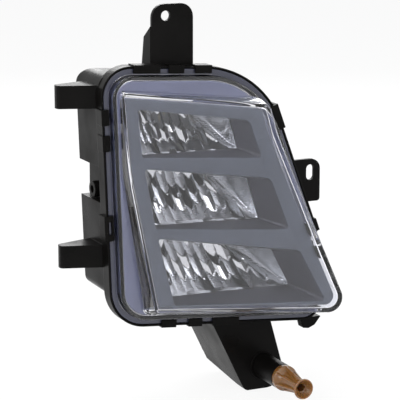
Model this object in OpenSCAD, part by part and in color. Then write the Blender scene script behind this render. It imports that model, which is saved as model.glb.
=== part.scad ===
// Auxiliary driving light with three stacked reflectors behind one stepped clear lens.
// +X is to the right as the lamp is looked at, -Y is forward out of the lens, +Z is up.
// The modules work from the lamp datum: Y = 0 is the front edge of the housing flange.
// The whole lamp is then shifted so that the origin is the top fixing hole.

/* [Flange outline] */
// Width of the flange round the lens, share tables follow it
flange_w = 150; // [142:1:158]
// Height of the flange round the lens, share tables follow it
flange_h = 170; // [162:1:178]
// Corner radius at the top left
flange_r_top_left = 18; // [12:1:22]
// Radius of the wide arc at the top right
flange_r_top_right = 60; // [50:1:64]
// Radius where the slanted right side turns upright
flange_r_side = 14; // [8:1:20]
// Corner radius at the bottom right
flange_r_bottom_right = 12; // [8:1:14]
// Corner radius at the bottom left
flange_r_bottom_left = 24; // [16:1:28]

/* [Housing] */
// Wall of the moulded housing
wall = 2; // [1.6:0.1:2.4]
// Depth of the flange from its front edge
flange_d = 9; // [8:0.5:11]
// Depth of the whole body behind the flange's front edge
body_d = 42; // [41:1:46]
// Thickness of the thin outer lip
lip_t = 1.2; // [1:0.1:1.6]
// How far the body's right and lower walls step in from the flange
body_step = 3; // [2.5:0.1:3.5]
// How far the body's left wall steps in from the flange
body_left_step = 0.8; // [0.6:0.1:1.2]
// How far the body's top lies below the flange's top edge
body_top_step = 5; // [4:0.5:6]
// How deep the recess in the left side is
recess_d = 6.4; // [5.5:0.1:7]
// Radius of the boss in the left recess
side_boss_r = 5; // [4:0.5:6]

/* [Lens] */
// Thickness of the clear lens
lens_t = 2.5; // [2:0.1:3]
// How far the flat outer step of the lens stands proud of its rim
step_rise = 6; // [5:0.5:7]
// How far the raised block's face stands out at the datum
block_rise = 19.65; // [18:0.5:22]
// Width of the rim that lies in the channel
rim_w = 3.2; // [2.8:0.1:3.6]
// Depth of the leg that is bonded into the channel
leg_d = 2.7; // [2:0.1:3]

/* [Bezel] */
// Wall of the bezel moulding
bezel_t = 1.8; // [1.5:0.1:2.2]
// Free space between lens and bezel
bezel_gap = 1.1; // [0.8:0.1:1.4]
// How far the bezel's face lies behind the outside of the lens
bezel_depth = 6; // [5:0.5:7]

/* [Reflectors] */
// Depth of the reflector bowls from their lower edge to their back
bowl_d = 17; // [14:0.5:18]
// Thickness of a reflector shell
bowl_t = 1.6; // [1.4:0.1:2]
// Number of flutes across a reflector
flutes = 12; // [8:1:14]
// Height of a flute's crown
flute_h = 1.1; // [0.6:0.1:1.4]

/* [Brackets] */
// Thickness of both fixing brackets
bracket_t = 2.5; // [2:0.1:3]
// Diameter of the hole in the top bracket
top_hole_d = 6; // [5.6:0.1:6.6]
// Height of the hole above the flange
top_hole_rise = 29.6; // [26:0.2:34]
// Width of the top bracket
top_bracket_w = 26.7; // [22:0.5:30]
// Width of the slot in the side bracket
slot_w = 5.6; // [5.4:0.1:6.6]
// Length of the slot in the side bracket
slot_len = 10; // [9:0.5:12]

/* [Adjuster] */
// How far the arm hangs below the flange
arm_drop = 46; // [44:1:50]
// Width of the arm where it leaves the flange
arm_w = 41.3; // [39:0.5:44]
// Depth of the arm from front to back
arm_d = 45; // [43:1:48]
// Outer radius of the adjuster's tube
tube_r = 8; // [7.8:0.1:9]
// Length of the tube in front of the arm
tube_len = 27; // [24:1:30]
// Radius of the adjusting screw
rod_r = 3; // [2.5:0.1:3.2]
// Radius of the driver socket in the adjuster head
socket_r = 2.8; // [2.6:0.1:2.9]

/* [Rear] */
// Width and height of the rear cover
cover_w = 60; // [52:1:64]
// Depth of the rear cover
cover_d = 14.5; // [14:0.5:18]
// Clear width of the connector socket
plug_w = 18; // [14:0.5:20]
// Clear depth of the connector socket
plug_d = 8; // [7:0.5:9]

/* [Hidden] */
$fn = 48;

// Clearances
over = 1;                  // overrun of every cut
fit_gap = 0.02;            // a pressed or screwed fit
run_gap = 0.05;            // a turning or sliding fit
seat_gap = 0.1;            // a part that rests on another
free_gap = 0.3;            // between parts that only lie near each other
arc_steps = 6;             // points along each rounded corner of an outline
long_arc_steps = 14;       // points along the flange's corners

// Outlines as shares of the flange's width and height, clockwise from the top left
flange_corner_shares = [[-0.429, 0.501], [0.281, 0.467], [0.54, -0.148], [0.57, -0.5], [-0.392, -0.432]];
face_corner_shares = [[-0.367, 0.413], [0.252, 0.345], [0.28, 0.241], [0.46, -0.159],
                      [0.587, -0.428], [-0.253, -0.367], [-0.35, 0.129]];
foot_corner_shares = [[-0.383, 0.435], [0.263, 0.373], [0.327, 0.241], [0.497, -0.159],
                      [0.553, -0.459], [-0.277, -0.404], [-0.377, 0.129]];
// The three windows in the bezel's face, and the inner ends of their funnels
window_shares = [
    [[-0.289, 0.348], [0.175, 0.29], [0.226, 0.153], [-0.277, 0.181]],
    [[-0.268, 0.141], [0.261, 0.078], [0.339, -0.112], [-0.229, -0.073]],
    [[-0.223, -0.106], [0.381, -0.191], [0.493, -0.386], [-0.16, -0.35]]];
throat_shares = [
    [[-0.27, 0.342], [0.126, 0.289], [0.161, 0.178], [-0.255, 0.184]],
    [[-0.243, 0.13], [0.208, 0.067], [0.259, -0.085], [-0.202, -0.072]],
    [[-0.187, -0.125], [0.319, -0.207], [0.401, -0.347], [-0.133, -0.338]]];
carrier_corner_shares = [[-0.293, 0.365], [0.18, 0.33], [0.313, 0.1], [0.4, -0.36], [-0.18, -0.375],
                         [-0.31, 0.02]];

function scaled(shares) = [for (p = shares) [p.x * flange_w, p.y * flange_h]];
function unit(v) = v / norm(v);
function right_of(d) = [d.y, -d.x] / norm(d);
function meet(p, d, q, e) = p + d * cross(q - p, e) / cross(d, e);

// Corner points of a clockwise outline, edge i moved inwards by steps[i]
function inset_each(pts, steps) = let (n = len(pts)) [for (i = [0 : n - 1])
    let (h = (i + n - 1) % n, a = pts[h], b = pts[i], c = pts[(i + 1) % n])
    meet(a + steps[h] * right_of(b - a), b - a, b + steps[i] * right_of(c - b), c - b)];
function inset(pts, s) = inset_each(pts, [for (p = pts) s]);

// Points of the arc that rounds corner b
function corner_arc(a, b, c, r, steps) =
    let (u = unit(a - b), v = unit(c - b), half = acos(u * v) / 2,
         centre = b + unit(u + v) * r / sin(half),
         p = b + u * r / tan(half) - centre, q = b + v * r / tan(half) - centre,
         start = atan2(p.y, p.x), turn = atan2(cross(p, q), p * q))
    [for (i = [0 : steps]) centre + r * [cos(start + turn * i / steps), sin(start + turn * i / steps)]];

function rounded(pts, radii, steps) = let (n = len(pts)) [for (i = [0 : n - 1])
    each corner_arc(pts[(i + n - 1) % n], pts[i], pts[(i + 1) % n], radii[i], steps)];

// The flange outline moved inwards by s
flange_radii = [flange_r_top_left, flange_r_top_right, flange_r_side, flange_r_bottom_right,
                flange_r_bottom_left];
flange_pts = scaled(flange_corner_shares);
function flange_at(s) = rounded(inset(flange_pts, s), [for (r = flange_radii) r - s], long_arc_steps);

// Heights of the flange's edges at a given place
function edge_z(i, x) = let (a = flange_pts[i], b = flange_pts[(i + 1) % 5])
    a.y + (b.y - a.y) * (x - a.x) / (b.x - a.x);
function edge_x(i, z) = let (a = flange_pts[i], b = flange_pts[(i + 1) % 5])
    a.x + (b.x - a.x) * (z - a.y) / (b.y - a.y);

// The raised block's face is a plane that comes forward to the right and towards the bottom
face_slope_x_share = 0.09;
face_slope_z_share = -0.063;
function face_y(p, back) = back - block_rise - face_slope_x_share * p.x - face_slope_z_share * p.y;
face_r = [3, 6, 60, 30, 9, 3, 120];
foot_r = [6, 7, 60, 16, 12, 6, 120];
function on_face(pts, back) = [for (p = pts) [p.x, face_y(p, back), p.y]];
function at_depth(pts, y) = [for (p = pts) [p.x, y, p.y]];
function shrunk(radii, s) = [for (r = radii) max(r - s, r / 4)];
function face_ring(s, back) =
    on_face(rounded(inset(scaled(face_corner_shares), s), shrunk(face_r, s), arc_steps), back);
function foot_ring(s, y) =
    at_depth(rounded(inset(scaled(foot_corner_shares), s), shrunk(foot_r, s), arc_steps), y);

// Solid of the raised block, set in by s, its face moved back by back, open down to depth y
module block(s, back, y) {
    intersection() {
        loft(face_ring(s, back), foot_ring(s, block_foot_y));
        slab(-flange_w, y) square([flange_w, flange_h] * 4, center = true);
    }
}
// Solid between a front ring and a back ring, both clockwise as seen from the front
module loft(front, back) {
    n = len(front);
    polyhedron(points = concat(front, back), faces = concat(
        [[for (i = [0 : n - 1]) i]],
        [[for (i = [n - 1 : -1 : 0]) n + i]],
        [for (i = [0 : n - 1]) [i, n + i, n + (i + 1) % n]],
        [for (i = [0 : n - 1]) [i, n + (i + 1) % n, (i + 1) % n]]));
}

// Flat outline of x and z pushed from depth y0 back to depth y1
module slab(y0, y1) {
    translate([0, y1, 0]) rotate([90, 0, 0]) linear_extrude(height = y1 - y0) children();
}
// Outline of y and z pushed from x0 to x1
module across(x0, x1) {
    translate([x0, 0, 0]) rotate([90, 0, 90]) linear_extrude(height = x1 - x0) children();
}
// Round bar along Y from y0 to y1, centred on p = [x, z]
module bar(p, r, y0, y1) {
    translate([p.x, y1, p.y]) rotate([90, 0, 0]) cylinder(r = r, h = y1 - y0);
}
// Round bar along X
module cross_bar(y, z, r, x0, x1) {
    translate([x0, y, z]) rotate([0, 90, 0]) cylinder(r = r, h = x1 - x0);
}
module box(lo, hi) {
    translate(lo) cube(hi - lo);
}
// Rectangle with rounded corners
module pad(lo, hi, r) {
    polygon(rounded([[lo.x, hi.y], [hi.x, hi.y], [hi.x, lo.y], [lo.x, lo.y]], [r, r, r, r], arc_steps));
}

// Depths of the channel that takes the lens rim
rim_y = 0.3;                                // front of the rim
rim_back = rim_y + lens_t;
seal_t = 1.4;                               // thickness of the bonding bead
block_foot_y = rim_back + over;             // where the walls of the raised block would end
leg_back = rim_back + leg_d;
channel_y = leg_back + seal_t;              // floor of the channel
floor_t = flange_d - channel_y > wall / 2 ? flange_d - channel_y : wall / 2;
floor_back = channel_y + floor_t;
rim_s = lip_t + free_gap;                   // inset of the rim's outer edge
step_s = rim_s + rim_w;                     // inset of the foot of the lens's step
plateau_s = step_s + 0.1 * step_rise;       // inset of the step's upper edge
inner_wall_s = step_s + free_gap;
inner_wall_t = 1.3;
skirt_s = plateau_s + lens_t + free_gap * 2;   // inset of the bezel's outer wall
ledge_w = 1.2;                              // how far the ledge reaches inside the bezel's wall
ledge_s = skirt_s + bezel_t + ledge_w;

// Body behind the flange, its lower left corner cut off at a slant
chamfer_x = 26;                             // length of the slant along the bottom
chamfer_z = 18;                             // and up the left side
chamfer_r = 6;
body_corner_r = 9;
body_corners = inset_each(flange_pts, [body_top_step, body_step, body_step, body_step, body_left_step]);
body_pts = [body_corners[0], body_corners[1], body_corners[2], body_corners[3],
            body_corners[4] + chamfer_x * unit(body_corners[3] - body_corners[4]),
            body_corners[4] + chamfer_z * unit(body_corners[0] - body_corners[4])];
body_radii = [body_corner_r, flange_r_top_right - body_step, flange_r_side - body_step,
              flange_r_bottom_right - body_step, chamfer_r, chamfer_r];
function body_at(s) = rounded(inset(body_pts, s), [for (r = body_radii) r - s], long_arc_steps);
cavity_back = body_d - wall;
recess_z0_share = 0.009;
recess_z1_share = 0.138;
recess_z = [recess_z0_share * flange_h, recess_z1_share * flange_h];
recess_x = edge_x(4, recess_z[1]) + body_left_step + recess_d;
rear_edge_r = 10;                           // easing of the long top rear edge
air_room = 4;                               // free depth behind the carrier for warm air

// Pivot of the carrier, in line with the boss in the left recess
pivot_z_share = 0.041;
pivot_z = pivot_z_share * flange_h;
pivot_r = 2.5;
ear_t = 3;
ear_r = 5.5;
lug_t = 3.5;
lug_out = 2;
lug_clear = 1.5;
pin_over = 0.5;
lug_x_share = 0.35;                         // outer face of the lugs
lug_x = lug_x_share * flange_w - lug_out / 2;
ear_x = lug_x - lug_t - free_gap;
pivot_y = cavity_back - air_room - ear_r - 1.5 * wall / 2;

// Carrier plate and its shelves
plate_t = 3;
fin_h = 3;
plate_back = cavity_back - air_room - 2.5 * plate_t - wall / 4;
plate_y = plate_back - plate_t;
shelf_t = 2.4;
board_t = 1.6;
chip_t = 0.8;
chip_w = 3.2;
bowl_rim = 1.5;                             // how far a bowl reaches past its funnel
bowl_air = 3;                               // between the plate and the bowls
bowl_back = plate_y - bowl_air;             // back of the bowls at their upper edge
bowl_bow = 1.8;                             // how much the bowls' sides come forward
funnel_gap = 3.1;                           // between the funnels and the bowls
funnel_end = bowl_back - bowl_d - bowl_bow - flute_h - funnel_gap;

// Arm and adjuster
arm_y = 8;
arm_wall = 1.8;
arm_lean_left = 25.95;
arm_lean_right = 15.8;
arm_x_share = 0.0847;
arm_x = arm_x_share * flange_w;
arm_z_share = -0.4835;
arm_z = arm_z_share * flange_h;
arm_root = 8.2;                             // how far the arm reaches up into the body
arm_low = arm_z - arm_drop;
arm_low_x = arm_x + arm_drop * tan(arm_lean_left);
arm_bottom_rise = 9.7;
arm_back = arm_y + arm_d;
arm_r_left = 5;
arm_r_right = 12;
arm_pts = [
    [arm_x - arm_root * tan(arm_lean_left), arm_z + arm_root],
    [arm_x + arm_w - arm_root * tan(arm_lean_right) - 1.6 * wall / 2, arm_z + arm_root],
    [arm_x + arm_w + arm_drop * tan(arm_lean_right) - 1.6 * wall / 2, arm_low],
    [arm_low_x, arm_low]];
axis_up = 15.4;
axis_in = 12.7;
axis_x = arm_low_x + axis_in;
axis_z = arm_low + axis_up;
tube_front = arm_y - tube_len;
bearing_len = 8;
bearing_front = arm_y + arm_wall - bearing_len;
spigot_r = tube_r - 2;
spigot_len = 13;
nut_y = arm_y + arm_d / 2 - 0.25 * wall;
nut_half = [4.6, 5.5, 5.4];
pin_r = 2;
pin_len = 2.6;
fork_t = 2.5;
fork_x = nut_half.x + free_gap;
fork_slot = pin_r + free_gap;
fork_half = 4.6;
bridge_up = 8.8;                            // how far the fork's bridge lies above the screw
bridge_z = axis_z + bridge_up;
bridge_t = 2.6;

// Fixing brackets
top_bracket_x_share = -0.101;
top_bracket_x = top_bracket_x_share * flange_w;
top_bracket_y = 6;
top_hole_in = 4.45;
top_hole_x = top_bracket_x - top_hole_in;
flange_top = edge_z(0, top_bracket_x);
top_hole_z = flange_top + top_hole_rise;
top_bracket_z = top_hole_z + 7;
side_bracket_y = 15;
side_slot_z_share = 0.0447;
side_slot_z = side_slot_z_share * flange_h;
side_slot_out = 14.9;
side_slot_x = edge_x(1, side_slot_z) + side_slot_out;
side_half_w = 7;
side_up = 8.5;
side_down = 18.8;

// Locating tabs on the left
tab_z_shares = [0.387, -0.182];
tab_reaches = [21, 23.7];
tab_half_h = 6.9;
tab_t = 6;
tab_y = 20;
tab_spread = 8;

// Rear cover
cover_x_share = 0.04;
cover_z_share = -0.02;
cover_mid = [cover_x_share * flange_w, cover_z_share * flange_h];
cover_half = cover_w / 2;
cover_r = 8;
cover_t = 2;
cover_lip = 5;
cover_lip_t = 2.4;
cover_back = body_d + cover_d;
groove_t = 1.5;
groove_w = 2.4;
screw_r = 1.5;
screw_head_r = 3;
screw_head_h = 2.2;
ear_screw = cover_half + cover_lip / 2 + 1.25 * screw_r;
post_r = 2.2;
post_len = 3;
seat_y = body_d + seat_gap / 2;

module place() {
    translate([-top_hole_x, -top_bracket_y, -top_hole_z]) children();
}

// Housing

// Box of the left recess, grown by g
module recess_outline(g) {
    polygon([[recess_x - flange_w, recess_z[0] - g], [recess_x + g, recess_z[0] - g],
             [recess_x + g, recess_z[1] + g], [recess_x - flange_w, recess_z[1] + g]]);
}

// Body and brackets, hollowed out together
module body_shell() {
    difference() {
        union() {
            slab(0, floor_back) polygon(flange_at(0));
            difference() {
                slab(channel_y, body_d) polygon(body_at(0));
                slab(floor_back, body_d + over) recess_outline(0);
                rear_edge_cut(0);
            }
            top_bracket();
            side_bracket();
            for (i = [0, 1]) locating_tab(i);
        }
        // channel for the lens rim
        slab(-over, channel_y) difference() {
            polygon(flange_at(lip_t));
            polygon(flange_at(inner_wall_s));
        }
        // the wall inside the channel stands lower than the lip
        slab(-over, rim_back + free_gap) polygon(flange_at(lip_t));
        slab(-over, channel_y) polygon(flange_at(inner_wall_s + inner_wall_t));
        slab(channel_y - over, floor_back + over) polygon(flange_at(ledge_s));
        difference() {
            slab(floor_back, cavity_back) difference() {
                polygon(body_at(wall));
                recess_outline(wall);
            }
            rear_edge_cut(wall);
        }
    }
}

// What lies outside the eased rear edge along the top of the body, g inside its skin
module rear_edge_cut(g) {
    r = rear_edge_r;
    translate([body_pts[0].x, body_d - r, body_pts[0].y]) rotate([0, -edge_tilt(0), 0])
        translate([0, 0, -r]) across(-flange_w, flange_w * 2) difference() {
            polygon([[0, 0], [r + over, 0], [r + over, r * 2], [0, r * 2]]);
            circle(r = r - g);
        }
}
function edge_tilt(i) = let (d = flange_pts[(i + 1) % 5] - flange_pts[i]) atan2(d.y, d.x);

// Stepped lugs inside the rear wall that hold the pivot pins
module pivot_lug(x0) {
    box([x0, pivot_y, pivot_z - ear_r], [x0 + lug_t, cavity_back + over / 2, pivot_z + ear_r]);
    cross_bar(pivot_y, pivot_z, ear_r, x0, x0 + lug_t);
}

// Hooks that hold the lens rim: edge number, share of the edge from its start, width
hook_t = 1.5;
hook_reach = rim_w * 0.8;
hook_out = 0.8;
hook_w = [17, 9.8, 10.7, 16, 8, 18, 9, 9.7, 15.3, 9.6, 9.5];
hook_edge = [0, 0, 0, 1, 1, 3, 3, 3, 4, 4, 4];
hook_at_share = [0.278, 0.457, 0.623, 0.3, 0.975, 0.475, 0.618, 0.741, 0.387, 0.71, 0.808];
ring_hook = 8;                              // the one that is a ring round a slot
ring_bulge = 1;
ring_hole = [8, 2.8];
module hook(i) {
    a = flange_pts[hook_edge[i]];
    b = flange_pts[(hook_edge[i] + 1) % 5];
    p = a + (b - a) * hook_at_share[i];
    bulge = i == ring_hook ? ring_bulge : 0;
    half = hook_w[i] / 2;
    translate([p.x, 0, p.y]) rotate([0, -atan2(b.y - a.y, b.x - a.x), 0]) {
        difference() {
            box([-half, -hook_t, -rim_s - hook_reach], [half, 0, hook_out + bulge]);
            if (i == ring_hook) box([-ring_hole.x / 2, -hook_t - over, -rim_s - ring_hole.y / 2],
                                    [ring_hole.x / 2, over, -rim_s + ring_hole.y / 2]);
        }
        box([-half, -hook_t, -lip_t / 2], [half, flange_d - hook_t, hook_out + bulge]);
    }
}
// Rounded lug below the flange near its lower right corner
lug_foot_x_share = 0.467;
lug_foot_w = 14.5;
lug_foot_drop = 6;
lug_foot_d = 6;
module foot_lug() {
    x = lug_foot_x_share * flange_w;
    z = edge_z(3, x);
    slab(0, lug_foot_d) polygon(rounded([
        [x, z + lip_t], [x + lug_foot_w, z + lip_t], [x + lug_foot_w * 0.7, z - lug_foot_drop * 0.7],
        [x + lug_foot_w * 0.4, z - lug_foot_drop], [x + lug_foot_w * 0.12, z - lug_foot_drop * 0.9]],
        [wall / 8, wall / 8, wall, wall, wall / 2], arc_steps));
}

module top_bracket() {
    left = top_bracket_x - top_bracket_w / 2;
    right = left + top_bracket_w;
    corner = 8;
    foot = flange_top - body_top_step - wall / 2;
    rib_d = 14;
    rib_z = top_hole_z - top_hole_d;
    difference() {
        union() {
            slab(top_bracket_y, top_bracket_y + bracket_t)
                polygon(rounded([[left, top_bracket_z], [right, top_bracket_z], [right, foot], [left, foot]],
                                [corner, corner, wall / 4, wall / 4], arc_steps));
            // stiffening rib along the left edge
            across(left - bracket_t / 2, left + bracket_t / 2)
                polygon([[top_bracket_y, foot], [top_bracket_y + rib_d, foot],
                         [top_bracket_y + rib_d * 0.7, rib_z - rib_d / 2], [top_bracket_y, rib_z]]);
            // gusset along the right edge
            across(right - bracket_t, right)
                polygon([[top_bracket_y, foot], [top_bracket_y + rib_d, foot],
                         [top_bracket_y + bracket_t, rib_z - rib_d]]);
            // thick foot that joins the body
            box([left, top_bracket_y, foot], [right, top_bracket_y + bracket_t * 2, flange_top + wall / 2]);
        }
        bar([top_hole_x, top_hole_z], top_hole_d / 2,
            top_bracket_y - over, top_bracket_y + bracket_t + over);
    }
}

module side_bracket() {
    x1 = side_slot_x + side_half_w;
    root = edge_x(1, side_slot_z - side_down) - body_step - wall * 6;
    straight = (slot_len - slot_w) / 2;
    z1 = side_slot_z + side_up;
    z0 = side_slot_z - side_down;
    difference() {
        union() {
            slab(side_bracket_y, side_bracket_y + bracket_t)
                polygon(rounded([[root, z1], [x1, z1], [x1, z0], [root, z0]],
                                [wall / 4, side_half_w - wall / 4, wall, wall / 4], arc_steps));
            // two webs behind the plate
            for (z = [z1 - side_half_w - bracket_t, z0 + wall])
                box([root, side_bracket_y, z],
                    [edge_x(1, z) + wall * 2, side_bracket_y + bracket_t * 4, z + bracket_t]);
        }
        slab(side_bracket_y - over, side_bracket_y + bracket_t + over) {
            translate([side_slot_x, side_slot_z + straight]) circle(r = slot_w / 2);
            translate([side_slot_x, side_slot_z - straight]) circle(r = slot_w / 2);
            translate([side_slot_x - slot_w / 2, side_slot_z - straight]) square([slot_w, straight * 2]);
        }
    }
}

module locating_tab(i) {
    z = tab_z_shares[i] * flange_h;
    x0 = edge_x(4, z) - tab_reaches[i];
    x1 = edge_x(4, z) + body_left_step + wall / 2;
    r = tab_t / 2;
    translate([0, 0, z - tab_half_h]) linear_extrude(height = tab_half_h * 2)
        polygon(rounded([[x1, tab_y - r - tab_spread], [x0, tab_y - r],
                         [x0, tab_y + r], [x1, tab_y + r + tab_spread]],
                        [wall / 4, r * 0.95, r * 0.95, wall / 4], arc_steps));
}

module arm_outline(s) {
    polygon(rounded(inset(arm_pts, s), [wall / 2, wall / 2, arm_r_right - s, arm_r_left - s], arc_steps));
}
// Wedge that makes the underside of the arm rise towards the back, lifted by g
module arm_underside(g) {
    across(arm_x - flange_w, arm_x + flange_w)
        polygon([[arm_y - over, arm_low + g], [arm_back + over * 4, arm_low + g + arm_bottom_rise],
                 [arm_back + over * 4, arm_low - arm_drop], [arm_y - over, arm_low - arm_drop]]);
}

module arm_shell() {
    difference() {
        slab(arm_y, arm_back) arm_outline(0);
        arm_underside(0);
    }
}
module arm_cavity() {
    difference() {
        slab(arm_y + arm_wall, arm_back + over) arm_outline(arm_wall);
        arm_underside(arm_wall);
    }
    // the way up into the body for the lever
    box([arm_x, flange_d + wall * 1.5, arm_z],
        [arm_x + arm_w - arm_root, cavity_back, arm_z + arm_root + wall * 2]);
}

module housing() {
    color("#26241f") place() difference() {
        union() {
            body_shell();
            for (i = [0 : len(hook_w) - 1]) hook(i);
            foot_lug();
            pivot_lug(-lug_x);
            pivot_lug(lug_x - lug_t);
            // round boss in the left recess
            cross_bar(pivot_y - wall, pivot_z, side_boss_r, recess_x - recess_d + wall, recess_x + wall / 2);
            arm_shell();
            bar([axis_x, axis_z], tube_r, tube_front, arm_y + over);
            for (p = arm_screw_at) arm_boss(p);
        }
        cross_bar(pivot_y - wall, pivot_z, side_boss_r / 2, recess_x - recess_d - over, recess_x);
        for (x = [-lug_x, lug_x - lug_t])
            cross_bar(pivot_y, pivot_z, pivot_r + fit_gap, x - over, x + lug_t + over);
        difference() {
            arm_cavity();
            for (p = arm_screw_at) arm_boss(p);
        }
        for (p = arm_screw_at) bar(p, screw_r - wall / 10 + fit_gap, arm_back - screw_len, arm_back + over);
        // adjuster bearing and the wider bore in front of it
        bar([axis_x, axis_z], rod_r + run_gap, bearing_front - over, arm_y + arm_wall + over);
        bar([axis_x, axis_z], spigot_r + run_gap, tube_front - over, bearing_front);
        // rear opening and the screw holes round it
        slab(cavity_back - over, body_d + over)
            pad(cover_mid - [cover_half, cover_half] + [cover_lip, cover_lip],
                cover_mid + [cover_half, cover_half] - [cover_lip, cover_lip], cover_r - cover_t);
        for (p = cover_screw_at) bar(p, screw_r + fit_gap, body_d - wall * 0.9, body_d + over);
        bar(vent_at, vent_r / 2, cavity_back - over, body_d + over);
    }
}

// Screw places
screw_len = 7;
arm_boss_r = screw_r * 1.9;
arm_screw_z = [arm_z - arm_root * 0.3, arm_low + arm_bottom_rise * 1.7];
arm_screw_at = [for (z = arm_screw_z) [arm_x + (arm_z - z) * tan(arm_lean_left) + arm_boss_r * 1.3, z]];
module arm_boss(p) {
    bar(p, arm_boss_r, arm_back - screw_len - wall, arm_back);
}
cover_screw_at = [for (sx = [-1, 1], sz = [-1, 1])
    cover_mid + [sx * ear_screw, sz * (cover_half - cover_r)]];
vent_r = 6;
vent_x_share = -0.26;
vent_z_share = 0.3;
vent_at = [vent_x_share * flange_w, vent_z_share * flange_h];

// Lens

module lens() {
    color("#c8d2e6", 0.35) place() difference() {
        union() {
            // rim and the leg that is bonded into the channel
            slab(rim_y, rim_back) polygon(flange_at(rim_s));
            slab(rim_back - over / 2, leg_back) difference() {
                polygon(flange_at(rim_s + rim_w * 0.15));
                polygon(flange_at(rim_s + rim_w * 0.8));
            }
            // flat outer step
            loft(at_depth(flange_at(plateau_s), -step_rise),
                 at_depth(flange_at(step_s), rim_back - over / 4));
            // raised block
            block(0, 0, rim_y + lens_t / 2);
        }
        slab(lens_t - step_rise, rim_back + over) polygon(flange_at(plateau_s + lens_t));
        block(lens_t, lens_t, block_foot_y);
    }
}

module lens_seal() {
    color("#1b1b1d") place() slab(leg_back, channel_y) difference() {
        polygon(flange_at(lip_t + free_gap));
        polygon(flange_at(inner_wall_s - free_gap));
    }
}

// Bezel

bezel_in = lens_t + bezel_gap;
skirt_front = lens_t - step_rise + free_gap;
window_r = [3, 6, 3, 3];
function window_ring(i, s, back) =
    on_face(rounded(inset(scaled(window_shares[i]), s), window_r, arc_steps), back);
function throat_ring(i, s, y) =
    at_depth(rounded(inset(scaled(throat_shares[i]), s), window_r / 2, arc_steps), y);

module bezel() {
    color("#6a6e7a") place() difference() {
        union() {
            difference() {
                union() {
                    // outer skirt behind the lens's step, standing on the housing's ledge
                    slab(skirt_front, channel_y - seat_gap) polygon(flange_at(skirt_s));
                    block(bezel_in, bezel_depth, skirt_front + bezel_t / 2);
                }
                slab(skirt_front + bezel_t, channel_y + over) polygon(flange_at(skirt_s + bezel_t));
                block(bezel_in + bezel_t, bezel_depth + bezel_t, block_foot_y);
            }
            // funnel walls behind the windows
            for (i = [0 : 2])
                loft(window_ring(i, -bezel_t, bezel_depth + bezel_t / 2),
                     throat_ring(i, -bezel_t, funnel_end));
            // light stops on the right edge
            for (z = stop_z_shares * flange_h) light_stop(z);
        }
        for (i = [0 : 2])
            loft(window_ring(i, 0, bezel_depth - over * 2), throat_ring(i, 0, funnel_end + over / 2));
    }
}
stop_z_shares = [-0.115, -0.2];
stop_h = 8;
stop_rise = 2.2;                            // how far a stop stands in front of the bezel's face
stop_out = bezel_gap * 0.25;
module light_stop(z) {
    lo = [side_x(z - stop_h / 2) - bezel_in, z - stop_h / 2];
    hi = [side_x(z + stop_h / 2) - bezel_in, z + stop_h / 2];
    y = face_y([side_x(z), z], bezel_depth);
    slab(y - stop_rise, y + bezel_t * 1.4)
        polygon([hi - [bezel_t * 0.4, 0], hi + [stop_out, 0], lo + [stop_out, 0], lo - [bezel_t * 0.4, 0]]);
}
function side_x(z) = let (a = scaled(face_corner_shares)[z > face_corner_shares[3].y * flange_h ? 2 : 3],
                          b = scaled(face_corner_shares)[z > face_corner_shares[3].y * flange_h ? 3 : 4])
    a.x + (b.x - a.x) * (z - a.y) / (b.y - a.y);

// Reflectors

function mix(a, b, t) = a + (b - a) * t;
// Corners of bowl i, clockwise from the top left
function bowl_corners(i) = inset(scaled(throat_shares[i]), -bowl_rim);
function bowl_at(i, u, v) = let (c = bowl_corners(i)) mix(mix(c[0], c[1], u), mix(c[3], c[2], u), v);
// A bowl that is parabolic both ways, and the crown of a flute across each step of u
function bowl_y(u, v) = bowl_back - bowl_d * v * v - bowl_bow * pow(2 * u - 1, 2);
crown_top_share = 0.35;                     // how high a flute stands at the bowl's upper edge
function crown(u, v) = flute_h * (1 - pow(2 * (u * flutes - floor(u * flutes)) - 1, 2))
    * mix(crown_top_share, 1, v);
flute_steps = 3;
bowl_rows = 7;
function bowl_front(i) = let (n = flutes * flute_steps) [for (r = [0 : bowl_rows], k = [0 : n])
    let (u = k / n, v = r / bowl_rows, p = bowl_at(i, u, v)) [p.x, bowl_y(u, v) - crown(u, v), p.y]];
function bowl_rear(i) = [for (r = [0 : bowl_rows], k = [0 : flutes])
    let (u = k / flutes, v = r / bowl_rows, p = bowl_at(i, u, v)) [p.x, bowl_y(u, v) + bowl_t, p.y]];

module bowl(i) {
    n = flutes * flute_steps + 1;
    w = flutes + 1;
    m = n * (bowl_rows + 1);
    polyhedron(points = concat(bowl_front(i), bowl_rear(i)), faces = concat(
        [for (r = [0 : bowl_rows - 1], k = [0 : n - 2]) [r * n + k, r * n + k + 1, (r + 1) * n + k + 1]],
        [for (r = [0 : bowl_rows - 1], k = [0 : n - 2]) [r * n + k, (r + 1) * n + k + 1, (r + 1) * n + k]],
        [for (r = [0 : bowl_rows - 1], k = [0 : w - 2])
            [m + r * w + k + 1, m + r * w + k, m + (r + 1) * w + k]],
        [for (r = [0 : bowl_rows - 1], k = [0 : w - 2])
            [m + r * w + k + 1, m + (r + 1) * w + k, m + (r + 1) * w + k + 1]],
        [for (k = [0 : flutes - 1])
            concat([for (j = [flute_steps : -1 : 0]) k * flute_steps + j], [m + k, m + k + 1])],
        [for (k = [0 : flutes - 1]) let (f = bowl_rows * n + k * flute_steps, b = m + bowl_rows * w + k)
            concat([for (j = [0 : flute_steps]) f + j], [b + 1, b])],
        [for (r = [0 : bowl_rows - 1]) [r * n, (r + 1) * n, m + (r + 1) * w, m + r * w]],
        [for (r = [0 : bowl_rows - 1])
            [(r + 1) * n + n - 1, r * n + n - 1, m + r * w + w - 1, m + (r + 1) * w + w - 1]]));
}
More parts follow.
